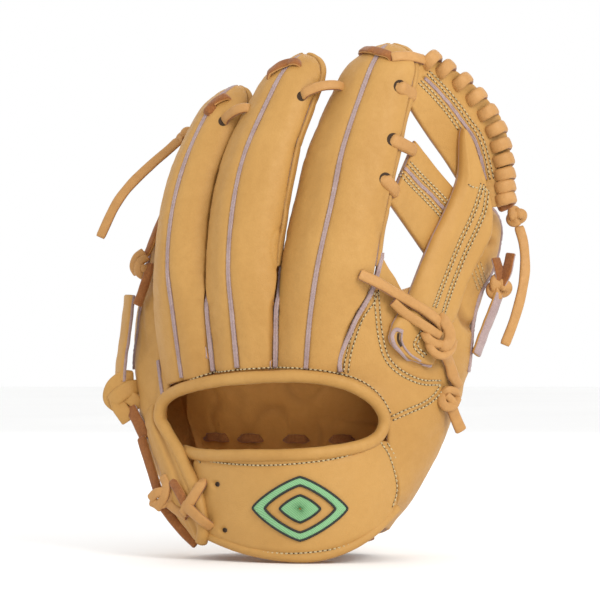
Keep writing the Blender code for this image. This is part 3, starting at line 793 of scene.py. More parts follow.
def cotton(name, base, deep, twist=2600.0):
    """Waxed thread: fine slanted twist, its colour darker in the grooves between turns as painted shade."""
    made, tree, shader = nodes_of(name)
    place = stored(tree, "rest", "Vector")
    wave = add(tree, "ShaderNodeTexWave", Scale=twist / 6, Distortion=2.0, bands_direction="DIAGONAL")
    tree.links.new(place, wave.inputs["Vector"])
    # painted shade: the twist's grooves, low in the bump, take the deep colour
    tree.links.new(mixed(tree, wave.outputs["Fac"], deep, base), shader.inputs["Base Color"])
    bumped(tree, shader, wave.outputs["Fac"], 0.4, 0.0002)
    shader.inputs["Roughness"].default_value = 0.7
    return made


def make_looks():
    """The materials, by short name: each from its middle, deep and light colours."""
    # In the leathers the deep colour also paints shade in dips and the light colour paints highlight on
    # rises.
    return {
        "tan": hide("tan_leather", (0.455, 0.236, 0.057), (0.25, 0.108, 0.020), (0.52, 0.284, 0.078)),
        "lining": hide("lining_leather", (0.50, 0.215, 0.040), (0.23, 0.085, 0.014), (0.58, 0.265, 0.055),
                       rough=0.66, sheen=0.02),
        "lace": hide("lace_leather", (0.485, 0.245, 0.072), (0.25, 0.105, 0.028), (0.56, 0.295, 0.098),
                     rough=0.5, grain=0.22, cell=1700.0, mottle=0.8),
        "suede": nap("lace_suede", (0.28, 0.098, 0.024), (0.15, 0.048, 0.012), (0.36, 0.14, 0.042)),
        "edge": nap("cut_edge", (0.37, 0.262, 0.252), (0.22, 0.145, 0.138), (0.49, 0.37, 0.355),
                    1500.0, 0.35),
        "felt": nap("wool_felt", (0.62, 0.58, 0.50), (0.42, 0.38, 0.32), (0.72, 0.68, 0.60)),
        "thread": cotton("waxed_thread", (0.60, 0.49, 0.28), (0.40, 0.31, 0.16)),
        # near-black that paints the shade inside stitch holes, lace holes and the web foot's slit
        "hole": nap("stitch_hole", (0.05, 0.028, 0.015), (0.02, 0.012, 0.008), (0.07, 0.04, 0.02)),
        "badge": cotton("badge_thread", (0.25, 0.50, 0.25), (0.16, 0.36, 0.16), 3000.0),
        "badge_edge": cotton("badge_edge_thread", (0.025, 0.03, 0.025), (0.01, 0.012, 0.01), 3000.0),
    }


LOOKS = make_looks()
PANEL = [LOOKS["tan"], LOOKS["edge"], LOOKS["lining"]]
ROLLED = [LOOKS["tan"], LOOKS["tan"], LOOKS["lining"]]
LACE = [LOOKS["lace"], LOOKS["suede"]]
# thread, then the painted shade of the stitch holes
SEWN = [LOOKS["thread"], LOOKS["hole"]]
FELT = [LOOKS["felt"]] * 3
TAN = [LOOKS["tan"]] * 3
LINING = [LOOKS["lining"]] * 3
WEB_PANEL = [LOOKS["tan"], LOOKS["edge"], LOOKS["tan"]]


def settle(piece, body, bend=None, replaces=None):
    """Parents the piece to its body, or with a bend bakes its place into its mesh; hides the CAD nodes it
    stands for.

    Unless it says otherwise, a piece stands for the CAD node that has its plain name.
    """
    if bend:
        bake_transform(piece)
    else:
        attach(piece, body)
    if replaces is None:
        replaces = {piece.name.removesuffix("_detailed")} & set(frame["nodes"])
    if replaces:
        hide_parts(*replaces)
    return piece


# ---------------------------------------------------------------- view, light and cords

VIEW_CENTRE = (0.0, 0.0, 0.1273)
VIEW_HEIGHT = 0.3135
VIEW_DISTANCE = 2.0
SENSOR = 36
LIGHT_TARGET = (0, 0, 0.13)
FLOOR_HALF = 4.0
FLOOR_GAP = 0.0004          # between the glove's lowest point and the floor


def set_view():
    lens = bpy.data.cameras.new("camera")
    lens.sensor_width = SENSOR
    lens.lens = SENSOR * VIEW_DISTANCE / VIEW_HEIGHT
    camera = bpy.data.objects.new("camera", lens)
    camera.location = (VIEW_CENTRE[0], VIEW_CENTRE[1] - VIEW_DISTANCE, VIEW_CENTRE[2])
    camera.rotation_euler = (math.pi / 2, 0, 0)
    bpy.context.scene.collection.objects.link(camera)
    bpy.context.scene.camera = camera


def add_light(name, place, size, power, colour=(1, 1, 1)):
    light = bpy.data.lights.new(name, "AREA")
    light.size = size
    light.energy = power
    light.color = colour
    lamp = bpy.data.objects.new(name, light)
    lamp.location = place
    aim = Vector(LIGHT_TARGET) - Vector(place)
    lamp.rotation_euler = aim.to_track_quat("-Z", "Y").to_euler()
    bpy.context.scene.collection.objects.link(lamp)


def set_stage():
    scene = bpy.context.scene
    scene.view_settings.view_transform = "Standard"
    scene.world = bpy.data.worlds.new("pale_room")
    scene.world.use_nodes = True
    room = scene.world.node_tree.nodes["Background"]
    room.inputs["Color"].default_value = (1, 1, 1, 1)
    room.inputs["Strength"].default_value = 1.0
    add_light("key", (0.75, -1.1, 0.85), 0.6, 11, (1, 0.985, 0.95))
    add_light("back", (0.1, 1.5, 0.9), 1.2, 4)
    z = CAD_BOX[0].z - FLOOR_GAP
    corners = [(x * FLOOR_HALF, y * FLOOR_HALF, z) for x, y in ((-1, -1), (1, -1), (1, 1), (-1, 1))]
    mesh = bpy.data.meshes.new("floor")
    mesh.from_pydata(corners, [], [(0, 1, 2, 3)])
    made, tree, shader = nodes_of("pale_floor")
    place = add(tree, "ShaderNodeTexCoord").outputs["Object"]
    cloud = spread(tree, noise(tree, place, 3.0, 2.0), 0.3, 0.7)
    tree.links.new(mixed(tree, cloud, (0.93, 0.93, 0.925), (0.96, 0.96, 0.955)), shader.inputs["Base Color"])
    shader.inputs["Roughness"].default_value = 0.8
    mesh.materials.append(made)
    floor = bpy.data.objects.new("floor", mesh)
    scene.collection.objects.link(floor)


def free_end(name, route, body, facing):
    """The free end of a tip lace: flat lace on its CAD route, cut square."""
    count = 44
    path = smooth_path(route, count)
    piece = lace(name, path, facing, count)
    settle(piece, body)


set_view()
set_stage()
free_end("pinky_tip_lace_tail", PINKY_TAIL, "pinky", (-0.3, -1, 0.35))
free_end("thumb_tip_lace_tail", THUMB_TAIL, "thumb", (0.25, -1, 0))


# ---------------------------------------------------------------- fingers

BELOW_SHOULDER = 0.84       # share of a stall's rows below the start of its rounded tip
SKIN_RADIUS = 23.0          # of a finger's back, to turn angles into widths
SEAM_START = 95.0           # where the thumb's and the little finger's seams start
FRONT_WIDTH = 60            # of a finger's front, for its relief


def stall_height(name, u, start, share=BELOW_SHOULDER):
    """Heights up a stall for u from 0 to 1, closer together over its tip."""
    shoulder = top_of(name) - TIP_DOME
    straight = start + (shoulder - start) * u / share
    over = np.clip((u - share) / (1 - share), 0, 1) * math.radians(88)
    return np.where(u < share, straight, shoulder + TIP_DOME * np.sin(over))


def finger_back(name):
    low_left, low_right = RIM_HEIGHTS[name]
    start = (low_left + low_right) / 2 - 2

    def spot(u, v):
        height = stall_height(name, u, start)
        left, right = side_limit(name, -1, height), side_limit(name, 1, height)
        angle = -left + (left + right) * v
        lift = (low_right - low_left) * angle / 100 * np.clip(1 - (height - start) / 40, 0, 1)
        return height + lift, angle, left, right

    def surface(u, v):
        height, angle, _, _ = spot(u, v)
        return skin(name, height, angle)

    def relief(face, u, v):
        height, angle, left, right = spot(u, v)
        arc = np.radians(angle) * SKIN_RADIUS
        gap = np.radians(np.minimum(angle + left, right - angle)) * SKIN_RADIUS
        low = 1 - ease((height - 120) / 60)
        flow = face * (1, 1, 0.45)
        made = -1.25 * bump(arc, 1.5) + 0.5 * bump(np.abs(arc) - 6, 4.5)
        made = made - 2.0 * bump(gap, 2.4) * (0.4 + 0.6 * low)
        made = made + 0.38 * ripple(flow, 30, 3) + 0.10 * ripple(face, 8, 5)
        made = made + 0.34 * creases(flow * (1, 1, 1.9), 26, 11) * (0.25 + 0.75 * bump(gap, 9))
        return made

    piece = slab(f"{name}_back", surface, (170, 84), PANEL, relief=relief, lip=1.2)
    settle(piece, "hand", replaces=[f"{name}_back_outer", f"{name}_back_inner"])


def finger_front(name, start, first=92.0, last=268.0, body="hand", raised=0.3, tuck=0.0):
    """A stall's palm side, from one angle to another; tuck sinks its lower end."""
    def surface(u, v):
        return skin(name, stall_height(name, u, start), first + (last - first) * v, -raised)

    def relief(face, u, v):
        hollow = -2.4 * bump((v - 0.5) * FRONT_WIDTH, 22) * ease((u - 0.02) * 6) * (1 - ease((u - 0.75) * 5))
        ridge = 0.8 * bump(np.minimum(v, 1 - v) * FRONT_WIDTH - 6, 3)
        hollow = hollow - tuck * (1 - ease(u * 7))
        return hollow + ridge + 0.3 * ripple(face, 26, 8) + 0.3 * creases(face * (1, 1, 0.6), 24, 21)

    piece = slab(f"{name}_front", surface, (120, 60), PANEL, TOWARD_PALM, relief=relief)
    settle(piece, body)


def rib():
    """A welt's section: two thin leathers side by side, raised out of the seam."""
    return np.array([(1.25, -0.9), (1.2, 0.2), (0.95, 0.62), (0.55, 0.72), (0.12, 0.45), (-0.12, 0.45),
                     (-0.55, 0.72), (-0.95, 0.62), (-1.2, 0.2), (-1.25, -0.9)])


def welt(name, path, facing, bend=None, width=1.0):
    count = max(20, int(length_of(path) / 1.1))
    both = evenly(np.column_stack([path, np.broadcast_to(facing, np.shape(path))]), count)
    spots, up = both[:, :3], unit(both[:, 3:])
    step = np.arange(count)
    sag = 0.09 * np.sin(step * 2.3) + 0.07 * ripple(spots, 7, 31)
    size = width * (1 + 0.07 * np.sin(step * 2.9) + 0.05 * ripple(spots, 11, 17))
    piece = sweep(name, spots + up * sag[:, None], up, rib(), [LOOKS["edge"]], size=size)
    settle(piece, "hand", bend)


def stall_welt(name):
    """The welt up a finger's back seam, laid over toward the tip."""
    start = sum(RIM_HEIGHTS[name]) / 2
    height = stall_height(name, np.linspace(0, 0.985, 90), start)
    path = skin(name, height, np.zeros_like(height), 0.35)
    up = unit(stall_at(name, height)[2])
    over = ease((height - (top_of(name) - TIP_DOME)) / TIP_DOME)[:, None]
    up = unit(up * (1 - 0.6 * over) + np.array((0, 0, 1.0)) * 0.6 * over)
    welt(f"{name}_welt", path, up)


def fork_welt(left, right, low, high):
    """The welt between two fingers' backs, up to the fork."""
    height = np.linspace(low, high, 60)
    a = skin(left, height, side_limit(left, 1, height) - 3)
    b = skin(right, height, -side_limit(right, -1, height) + 3)
    middle = (a + b) / 2
    up = unit(stall_at(left, height)[2] + stall_at(right, height)[2])
    welt(f"{left}_{right}_welt", middle + up * 0.2, up, width=0.95)


RING_FRONT_LOW = 124.0       # its outer side shows beside the little finger


def make_fingers():
    for name in ROW[1:]:
        finger_back(name)
        if name == "ring":
            finger_front(name, RING_FRONT_LOW, raised=-0.6)
        else:
            finger_front(name, FORK_HEIGHT - 1)
        stall_welt(name)
    fork_welt("ring", "middle", 97, 149)
    fork_welt("middle", "index", 99, 151)


# ---------------------------------------------------------------- sides, palm and lining

THUMB_FREE = 130.0          # the thumb side turns into the thumb stall alone from here up
THUMB_WRAP = (-90, 205)     # degrees at which the thumb's skin starts, and how far it runs
PINKY_WRAP = (84, -176)
PINKY_SEAM = 84 / 176       # share of its skin at which the little finger's seam lies
THUMB_SEAM = 0.61
SIDE_LOW = 8.0
SIDE_ROWS_TOP = {"thumb": THUMB_SIDE_ROWS[-1][0], "pinky": PINKY_SIDE_ROWS[-1][0]}
CORNER_LIFT = 8.0           # how far the thumb side's low corner is cut up, beside the strap
HORN_REACH = [              # height, and how far the horn reaches across the side's plan points
    (112, 1.6), (124, 1.5), (132, 1.25), (137, 1.05), (145, 0.6), (150, 0.3), (156, 0.03),
]


def thumb_side_at(height, v):
    rows = plan_skin(THUMB_SIDE_ROWS, np.minimum(height, SIDE_ROWS_TOP["thumb"]), v)
    rows[..., 2] = height + CORNER_LIFT * (1 - v) * (1 - ease((height - SIDE_LOW) / 34))
    stall = skin("thumb", np.maximum(height, SEAM_START), THUMB_WRAP[0] + THUMB_WRAP[1] * v)
    share = ease((height - THUMB_FREE) / 22)[..., None]
    return rows * (1 - share) + stall * share


def horn_at(u, v):
    """The leather that runs up beside the index finger to a point, over the foot of the web."""
    height = HORN_REACH[0][0] + (HORN_REACH[-1][0] - HORN_REACH[0][0]) * u
    reach = along(HORN_REACH, height)[..., 0]
    face = plan_skin(THUMB_SIDE_ROWS, height, v * reach / 6)
    return face + AWAY * (1.5 * ease((height - 112) / 18) - 0.6)[..., None]


def pinky_side_at(height, v):
    rows = plan_skin(PINKY_SIDE_ROWS, np.minimum(height, SIDE_ROWS_TOP["pinky"]), v)
    rows[..., 2] = height
    stall = skin("pinky", np.maximum(height, SEAM_START), PINKY_WRAP[0] + PINKY_WRAP[1] * v)
    share = ease((height - SEAM_START) / 24)[..., None]
    return rows * (1 - share) + stall * share


def side_height(name, u):
    return stall_height(name, u, SIDE_LOW, 0.9)


# Stitch lines in x and z.
CROTCH_LEFT_LEG = [(38.2, 138), (37.1, 133.6), (31, 124.5), (26.8, 113), (24.7, 105.4), (23.5, 97)]
CROTCH_RIGHT_LEG = [
    (39, 138.5), (39.8, 127.6), (41, 116.8), (43.6, 106), (48.5, 99), (56.3, 94), (64, 91.2), (73, 90.9),
]
CROTCH_FOOT = [(73.8, 89.2), (70, 84), (63.9, 79.8), (56.3, 76.8), (47.5, 73)]
CROTCH_LINES = (CROTCH_LEFT_LEG, CROTCH_RIGHT_LEG, CROTCH_FOOT)
STRAP_END = [(41, 63.5), (46.8, 55), (50.6, 43), (51.2, 34.6), (48.9, 27)]
THUMB_PLEAT = [(83, 131), (86, 124), (90, 120)]
THUMB_DIMPLE = (101, 165)
PALM_BREAK = [(-46, 52), (-20, 60), (6, 68), (26, 84), (40, 108)]
RING_EDGE = [(-71.6, 84), (-72.7, 90), (-73.6, 96), (-74.4, 102)]   # beside the little finger


def thumb_side_relief(face, u, v):
    made = 0.35 * ripple(face, 32, 4) + 0.09 * ripple(face, 8, 6)
    made = made + 0.3 * creases(face * (1, 1, 0.7), 30, 14) * (0.3 + 0.7 * ease((face[..., 2] - 96) / 50))
    for line in CROTCH_LINES:
        made = made - 0.5 * bump(away_from(face, line), 2.0) * (face[..., 1] < 60)
    made = made - 2.2 * bump(away_from(face, THUMB_PLEAT), 2.6) * (face[..., 1] < 75)
    dimple = np.hypot(face[..., 0] - THUMB_DIMPLE[0], face[..., 2] - THUMB_DIMPLE[1])
    made = made - 2.0 * bump(dimple, 3.0) * (face[..., 1] < 85)
    return made


def seam_welt(name, side_at, share, start, count, lift, bend):
    """The welt up the back seam of the thumb or of the little finger."""
    height = stall_height(name, np.linspace(0, 0.98, count), start)
    path = side_at(height, np.full_like(height, share))
    up = stall_at(name, height)[2]
    welt(f"{name}_welt", path + up * lift, up, bend)


def make_sides():
    thumb = slab("thumb_side_leather", lambda u, v: thumb_side_at(side_height("thumb", u), v), (190, 110),
                 PANEL, relief=thumb_side_relief)
    horn = slab("crotch_horn", horn_at, (70, 40), PANEL, relief=thumb_side_relief, lip=1.2, thick=2.4)
    thumb = joined("thumb_side_leather", [thumb, horn])
    settle(thumb, "hand", THUMB_BEND, ["thumb_heel", "thumb_back_inner", "thumb_back_outer"])

    def pinky_relief(face, u, v):
        made = 0.4 * ripple(face, 30, 9) + 0.1 * ripple(face, 8, 10)
        return made + 0.55 * creases(face * (1, 1, 0.5), 30, 24, 0.2)

    pinky = slab("pinky_side_leather", lambda u, v: pinky_side_at(side_height("pinky", u), v), (200, 90),
                 PANEL, relief=pinky_relief)
    settle(pinky, "hand", PINKY_BEND, ["pinky_heel", "pinky_back_outer", "pinky_back_inner"])
    seam_welt("thumb", thumb_side_at, THUMB_SEAM, 96.0, 80, 0.2, THUMB_BEND)
    seam_welt("pinky", pinky_side_at, PINKY_SEAM, 97.0, 90, 0.3, PINKY_BEND)
    finger_front("pinky", 108.0, 94.0, 266.0, "pinky", tuck=6.0)
    finger_front("thumb", 112.0, 112.0, 268.0, "thumb", 1.3, 5.0)
    height = np.linspace(97, 158, 60)
    left = plan_skin(THUMB_SIDE_ROWS, np.minimum(height, SIDE_ROWS_TOP["thumb"]), np.full_like(height, 0.004))
    left[..., 2] = height
    up = unit(np.array((0.35, -1, 0)))
    welt("index_thumb_welt", left + AWAY * 1.2, up, width=0.95)
    sides = surface_of(pinky, piece("ring_back"))
    path, up = drape(sides, RING_EDGE, 60, 0.35)
    welt("pinky_ring_welt", path, up, width=0.8)


PALM_TOP = 150              # how far the palm leather runs up from its first row
LINING_LOW, LINING_RUN = 14, 108    # where lining and felt start, and how far up they run
LINING_DEPTH = LEATHER + 9.2
FELT_DEPTH = LEATHER + 1.4


def palm_at(height, v, inset=0.0):
    """Points on the palm's outer face, or this far inside it."""
    face = plan_skin(PALM_ROWS, height, v)
    return face - normals_toward(face, TOWARD_PALM) * inset if inset else face


def make_palm():
    def relief(face, u, v):
        made = 0.5 * ripple(face, 34, 12) + 0.12 * ripple(face, 9, 13)
        made = made + 0.8 * creases(face * (1, 1, 0.8), 46, 42, 0.12) + 0.3 * creases(face, 20, 43)
        return made - 1.3 * bump(away_from(face, PALM_BREAK), 3.2)

    def surface(u, v):
        return palm_at(PALM_ROWS[0][0] + PALM_TOP * u * (1 - 0.21 * ease((v - 0.72) / 0.28)), v)

    def gusset(u, w):
        """The fold that joins the palm's upper corner to the thumb side behind the web."""
        edge = surface(np.full_like(u, 0.985), 0.70 + 0.285 * w)
        back = thumb_side_at(131.0 + 16.0 * w, np.zeros_like(w))
        face = edge * (1 - u)[..., None] + back * u[..., None]
        return face - np.stack([0 * u, 0 * u, 5.0 * np.sin(math.pi * u)], -1)

    palm = slab("palm_leather", surface, (150, 130), PANEL, TOWARD_PALM, relief=relief, lip=1.5)
    fold = slab("palm_fold", gusset, (40, 60), PANEL, np.array((0, 0, 1.0)), thick=1.6, lip=0.7)
    palm = joined("palm_leather", [palm, fold])
    settle(palm, "hand", THUMB_BEND, ["palm"])

    def lining(u, v):
        return palm_at(LINING_LOW + LINING_RUN * u, 0.04 + 0.9 * v, LINING_DEPTH)

    def lining_relief(face, u, v):
        return 0.5 * ripple(face, 26, 15) + 0.7 * creases(face, 30, 16, 0.2)

    piece = slab("palm_lining", lining, (90, 90), LINING, AWAY, 1.8, 0.8, lining_relief)
    settle(piece, "hand", THUMB_BEND)

    def felt(u, v):
        return palm_at(LINING_LOW + LINING_RUN * u, 0.05 + 0.82 * v, FELT_DEPTH)

    piece = slab("palm_pad", felt, (50, 50), FELT, TOWARD_PALM, 4.4, 1.8)
    settle(piece, "hand")


def make_stiffeners():
    for name, low, high in (("thumb", 100, 158), ("pinky", 104, 200)):
        def surface(u, v, name=name, low=low, high=high):
            return skin(name, low + (high - low) * u, -44 + 84 * v, LEATHER + 1.2)

        piece = slab(f"{name}_stiffener", surface, (40, 24), FELT, thick=2.2, lip=0.9)
        settle(piece, name)


# ---------------------------------------------------------------- strap and binding

STRAP_TOP_STITCH = [(-57, 52.2), (-40.4, 50), (-19.1, 49.3), (2.1, 50.8), (20.2, 53.4), (31, 57)]
STRAP_LOW_STITCH = [(-47, 12), (-31.9, 7), (-8.5, 4.6), (12.8, 6.2), (25.5, 9.3), (39, 15)]
RIM_STITCH = [
    (-57.4, 92.5), (-44.6, 96.3), (-24.5, 98.6), (-3.2, 99), (18, 96.6), (31.9, 92), (41.3, 84.5), (46.4, 76),
]
EYELETS = [(-42.5, 38.9), (-38.6, 15.5)]


def strap_at(u, w):
    """A point on the strap's outer face: u runs from its left end, w from its lower edge up."""
    rows = [(k, *row) for k, row in enumerate(STRAP_ROWS)]
    values = along(rows, u * (len(STRAP_ROWS) - 1))
    x, y, low, high = np.moveaxis(values, -1, 0)
    return np.stack([x, y, low + (high - low) * w], -1)


def make_strap():
    def relief(face, u, v):
        rise = 1.6 * np.sin(math.pi * v) ** 0.5 + 0.5 * np.sin(math.pi * u) ** 0.6
        stitch = -0.7 * bump(away_from(face, STRAP_TOP_STITCH), 1.5)
        stitch = stitch - 0.7 * bump(away_from(face, STRAP_LOW_STITCH), 1.5)
        stitch = stitch - 0.6 * bump(away_from(face, STRAP_END), 1.8)
        made = rise + stitch + 0.3 * ripple(face, 30, 18) + 0.08 * ripple(face, 8, 19)
        for x, z in EYELETS:
            made = made - 2.6 * bump(np.hypot(face[..., 0] - x, face[..., 2] - z), 1.5)
        return made

    piece = slab("wrist_strap", strap_at, (190, 110), ROLLED, relief=relief, lip=1.5)
    settle(piece, "hand")
    edge = smooth_path([(x, y + 1.2, low + 2.4) for x, y, low, _ in STRAP_ROWS], 110)
    roll = sweep("strap_rolled_edge", edge, (0, -1, 0), oval(5.2, 5.2, 16), [LOOKS["tan"]])
    settle(roll, "hand")


def padding_shape():
    """The strap's padding before it is filled: a flat pouch behind the strap."""
    def surface(u, w):
        face = strap_at(0.02 + 0.96 * u, 0.07 + 0.86 * w)
        return face - normals_toward(face, AWAY) * (LEATHER + 0.9)

    return slab("strap_padding", surface, (60, 26), LINING, thick=2.6, lip=1.0)


PAD_PRESSURE = 4.0
PAD_STEPS = 16
PAD_SWELL = 0.0011          # the furthest that a point of the padding may move


def fill_padding(piece):
    """Swells the pouch with a short cloth simulation, then keeps its mesh."""
    remesh = piece.modifiers.new("remesh", "REMESH")
    remesh.mode = "VOXEL"
    remesh.voxel_size = 0.0018
    apply(piece)
    rest = points_of(piece)
    cloth = piece.modifiers.new("fill", "CLOTH")
    cloth.settings.use_pressure = True
    cloth.settings.uniform_pressure_force = PAD_PRESSURE
    cloth.settings.effector_weights.gravity = 0
    cloth.settings.quality = 4
    cloth.point_cache.frame_end = PAD_STEPS
    for step in range(1, PAD_STEPS + 1):
        bpy.context.scene.frame_set(step)
    apply(piece)
    bpy.context.scene.frame_set(1)
    moved = points_of(piece) - rest
    far = np.linalg.norm(moved, axis=1, keepdims=True)
    kept = rest + moved * np.minimum(1, PAD_SWELL / np.maximum(far, 1e-9))
    piece.data.vertices.foreach_set("co", kept.astype(np.float32).ravel())
    for name in ("rest", "relief"):
        if name in piece.data.attributes:
            piece.data.attributes.remove(piece.data.attributes[name])
    place = piece.data.attributes.new("rest", "FLOAT_VECTOR", "POINT")
    place.data.foreach_set("vector", kept.astype(np.float32).ravel())
    piece.data.shade_smooth()
    piece.data.update()


def points_of(piece):
    return np.array([v.co for v in piece.data.vertices], float).reshape(-1, 3)


def apply(piece):
    """Turns the piece's modifiers into its mesh."""
    shown = bpy.data.meshes.new_from_object(piece.evaluated_get(bpy.context.evaluated_depsgraph_get()))
    piece.modifiers.clear()
    piece.data = shown


def make_padding():
    piece = padding_shape()
    fill_padding(piece)
    settle(piece, "hand")


def make_binding():
    path = smooth_path(BINDING_PATH, 260)
    size = 1 + 0.035 * ripple(path, 14, 23) + 0.02 * ripple(path, 5, 24)
    facing = np.tile(AWAY, (len(path), 1))
    roll = sweep("opening_roll", path, facing, oval(6.6, 6.6, 20), [LOOKS["tan"]], size=size)

    def flap_at(u, v):
        z = FLAP_ROWS[0][0] + (FLAP_ROWS[-1][0] - FLAP_ROWS[0][0]) * u
        right_x, right_y, left_x, left_y = np.moveaxis(along(FLAP_ROWS, z), -1, 0)
        turn = v * math.pi / 2
        x = right_x + (left_x - right_x) * np.sin(turn) - 1.5
        return np.stack([x, right_y + (left_y - right_y) * (1 - np.cos(turn)), z], -1)

    def relief(face, u, v):
        made = 0.35 * ripple(face, 22, 81) + 0.5 * creases(face * (1, 1, 0.6), 18, 82, 0.2)
        return made - 1.2 * bump((v - 0.3) * 40, 3)

    flap = slab("opening_flap", flap_at, (80, 44), ROLLED, relief=relief, lip=1.5)
    settle(joined("opening_binding", [roll, flap]), "hand")


make_fingers()
make_sides()
make_palm()
make_stiffeners()
make_strap()
make_padding()
make_binding()


# ---------------------------------------------------------------- drawing on the skins

FINGERS = surface_of(*(piece(f"{n}_back") for n in ROW[1:]))
THUMB_SKIN = surface_of(piece("thumb_side_leather"))
STRAP_SKIN = surface_of(piece("wrist_strap"))
PALM_SKIN = surface_of(piece("palm_leather"))


def pin(tree, x, z, lift=0.0, ray=(0, 1, 0)):
    spot, normal = drape(tree, [(x, z), (x + 0.01, z)], 2, 0.0, ray)
    return spot[0] + normal[0] * lift


def pins(tree, x, z, lift, ray=(0, 1, 0)):
    """The skin's points at arrays of x and z, raised along the ray."""
    direction = Vector(ray)
    found = np.empty((*x.shape, 3))
    for index in np.ndindex(x.shape):
        start = Vector((x[index], 0, z[index])) - direction * FAR
        spot = tree.ray_cast(start, direction)[0]
        if spot is None:
            spot = tree.find_nearest(Vector((x[index], 20, z[index])))[0]
        found[index] = spot
    return found - np.asarray(ray, float) * lift


def shifted(outline, gap):
    """An (x, z) outline moved sideways by a gap."""
    flat = smooth_path(outline, 30)
    step = np.gradient(flat, axis=0)
    side = unit(np.column_stack([-step[:, 1], step[:, 0]]))
    return flat + side * gap


def rows_on(tree, outline, gaps=(-1.2, 1.2), lift=0.1, count=60, ray=(0, 1, 0)):
    return [drape(tree, shifted(outline, gap), count, lift, ray) for gap in gaps]


# ---------------------------------------------------------------- web

POST_LIFT = 6.0             # how far the post stands in front of the bars
POST_CLEAR = 5.4            # and its foot in front of the leather by the thumb
UPPER_SLIT = [(64.5, 249.4), (71.5, 243), (79.8, 234), (86.1, 225.6), (91, 219.3), (94.5, 209.6), (97.5, 197)]
LOWER_SLIT = [(54, 202), (60, 196), (68, 188.5), (76, 180.5), (83, 172)]
POST_ROWS = [
    [(95.5, 194.6), (92.7, 184.9), (89.2, 175.9), (85.1, 167.6), (81, 158.2), (75.7, 145.3), (69.6, 130.1)],
    [(98.2, 193), (96.6, 181), (91.9, 169.6), (86.8, 159), (81, 145), (76.5, 133.2), (74, 126)],
]
POST_FOOT_ROW = [(63.5, 118.4), (59.2, 110.6), (64.4, 105)]
FOOT_FOLD = [
    (52.5, 117.6), (49.2, 118.6), (47.3, 115.6), (48.4, 111), (51.6, 107.2), (56, 103), (62, 100), (68, 98.8),
]
FOOT_INNER = [(52.2, 117), (51.9, 113.2), (53.6, 109.4), (57.2, 105.4), (62, 102.4)]
FOOT_SLIT = [(50.4, 116.8), (50.3, 113.4), (51.8, 110.2)]


def rails(left, right, u, v):
    """Points between two outlines: u runs along both and v from the first to the second."""
    at = np.linspace(0, 1, 60)
    x0, z0, x1, z1 = (np.interp(u, at, line[:, k])
                      for line in (smooth_path(left, 60), smooth_path(right, 60)) for k in (0, 1))
    return x0 * (1 - v) + x1 * v, z0 * (1 - v) + z1 * v


def web_bar(name, top, low, slit, counts, replaces=None):
    """A crossbar of the web, with the rows of stitching beside its slit."""
    def surface(u, v):
        x, z = rails(top, low, u, v)
        return np.stack([x, web_depth(x, z), z], -1)

    def relief(face, u, v):
        gap = away_from(face, slit)
        made = 1.0 * np.sin(math.pi * np.clip(v, 0, 1)) ** 0.7 - 1.6 * bump(gap, 1.1)
        for far in (2.4, 4.4):
            made = made - 0.35 * bump(gap - far, 0.9)
        return made + 0.25 * ripple(face, 24, 51) + 0.2 * creases(face, 22, 52)

    made = slab(name, surface, counts, WEB_PANEL, relief=relief, thick=3.6, lip=1.5)
    settle(made, "hand", WEB_BEND, replaces)
    tree = surface_of(made)
    sewn = stitches(f"{name}_stitching", rows_on(tree, slit, (-4.4, -2.5, 2.5, 4.4)), SEWN, 2.6)
    settle(sewn, "hand", WEB_BEND)
    path, up = drape(tree, slit, 70, 0.9)
    welt(f"{name}_slit_edge", path, up, WEB_BEND, width=0.75)
    return tree


def side_depth(x, z):
    """How far back the leather between the index finger and the thumb lies."""
    xs, ys = plan_points(THUMB_SIDE_ROWS, z)
    found = ys[..., 0]
    for k in range(4):
        t = (x - xs[..., k]) / (xs[..., k + 1] - xs[..., k])
        found = np.where(t > 0, ys[..., k] + (ys[..., k + 1] - ys[..., k]) * t, found)
    return found


def post_surface(u, v):
    x, z = rails(WEB_POST_LEFT, WEB_POST_RIGHT, u, v)
    back = web_depth(x, z) - POST_LIFT
    front = side_depth(x, z) - POST_CLEAR
    share = ease((z - 122) / 34)
    return np.stack([x, front * (1 - share) + back * share, z], -1)


def make_web():
    upper = web_bar("web_upper_bar", UPPER_BAR_TOP, UPPER_BAR_LOW, UPPER_SLIT, (130, 60),
                    ["web_upper_bar", "web_thumb_bar"])
    lower = web_bar("web_lower_bar", LOWER_BAR_TOP, LOWER_BAR_LOW, LOWER_SLIT, (80, 60))

    def relief(face, u, v):
        thin = 1 - 0.8 * ease((u - 0.72) / 0.2)
        crown = 2.6 * np.sin(math.pi * v) ** 0.5 + 1.5 * bump(v - 0.22, 0.16)
        made = crown * np.minimum(1, 0.3 + u * 4) * thin
        for row in POST_ROWS:
            made = made - 1.1 * bump(away_from(face, row), 2.0)
        return made + 0.3 * ripple(face, 26, 61) + 0.3 * creases(face * (1, 1, 0.6), 24, 62)

    post = slab("web_post", post_surface, (120, 50), WEB_PANEL, relief=relief, thick=4.4, lip=1.9)
    settle(post, "hand", WEB_BEND)
    tree = surface_of(post)
    rows = [r for line in (*POST_ROWS, POST_FOOT_ROW) for r in rows_on(tree, line, (-0.9, 0.9), 0.1, 90)]
    settle(stitches("web_post_stitching", rows, SEWN, 2.6), "hand", WEB_BEND)
    edges = []
    # FOOT_SLIT is drawn in the hole colour, as painted shade in the slit.
    drawn = ((FOOT_FOLD, 2.1, "edge"), (FOOT_INNER, 1.1, "edge"), (FOOT_SLIT, 1.3, "hole"))
    for outline, width, look in drawn:
        path, up = drape(tree, outline, 50, 0.25)
        edges.append(sweep("foot_edge", path, up, oval(width, 1.5, 10), [LOOKS[look]]))
    settle(joined("web_post_folded_edge", edges), "hand", WEB_BEND)
    return upper, lower


WHIP_SPOTS = [
    (68, 259), (75.6, 254.6), (84.7, 248.4), (92.4, 240.8), (98.6, 232.6), (103.3, 224), (105.8, 215.6),
    (107.3, 207.8), (108, 200.4), (108.2, 193.8), (108.6, 187.4),
]


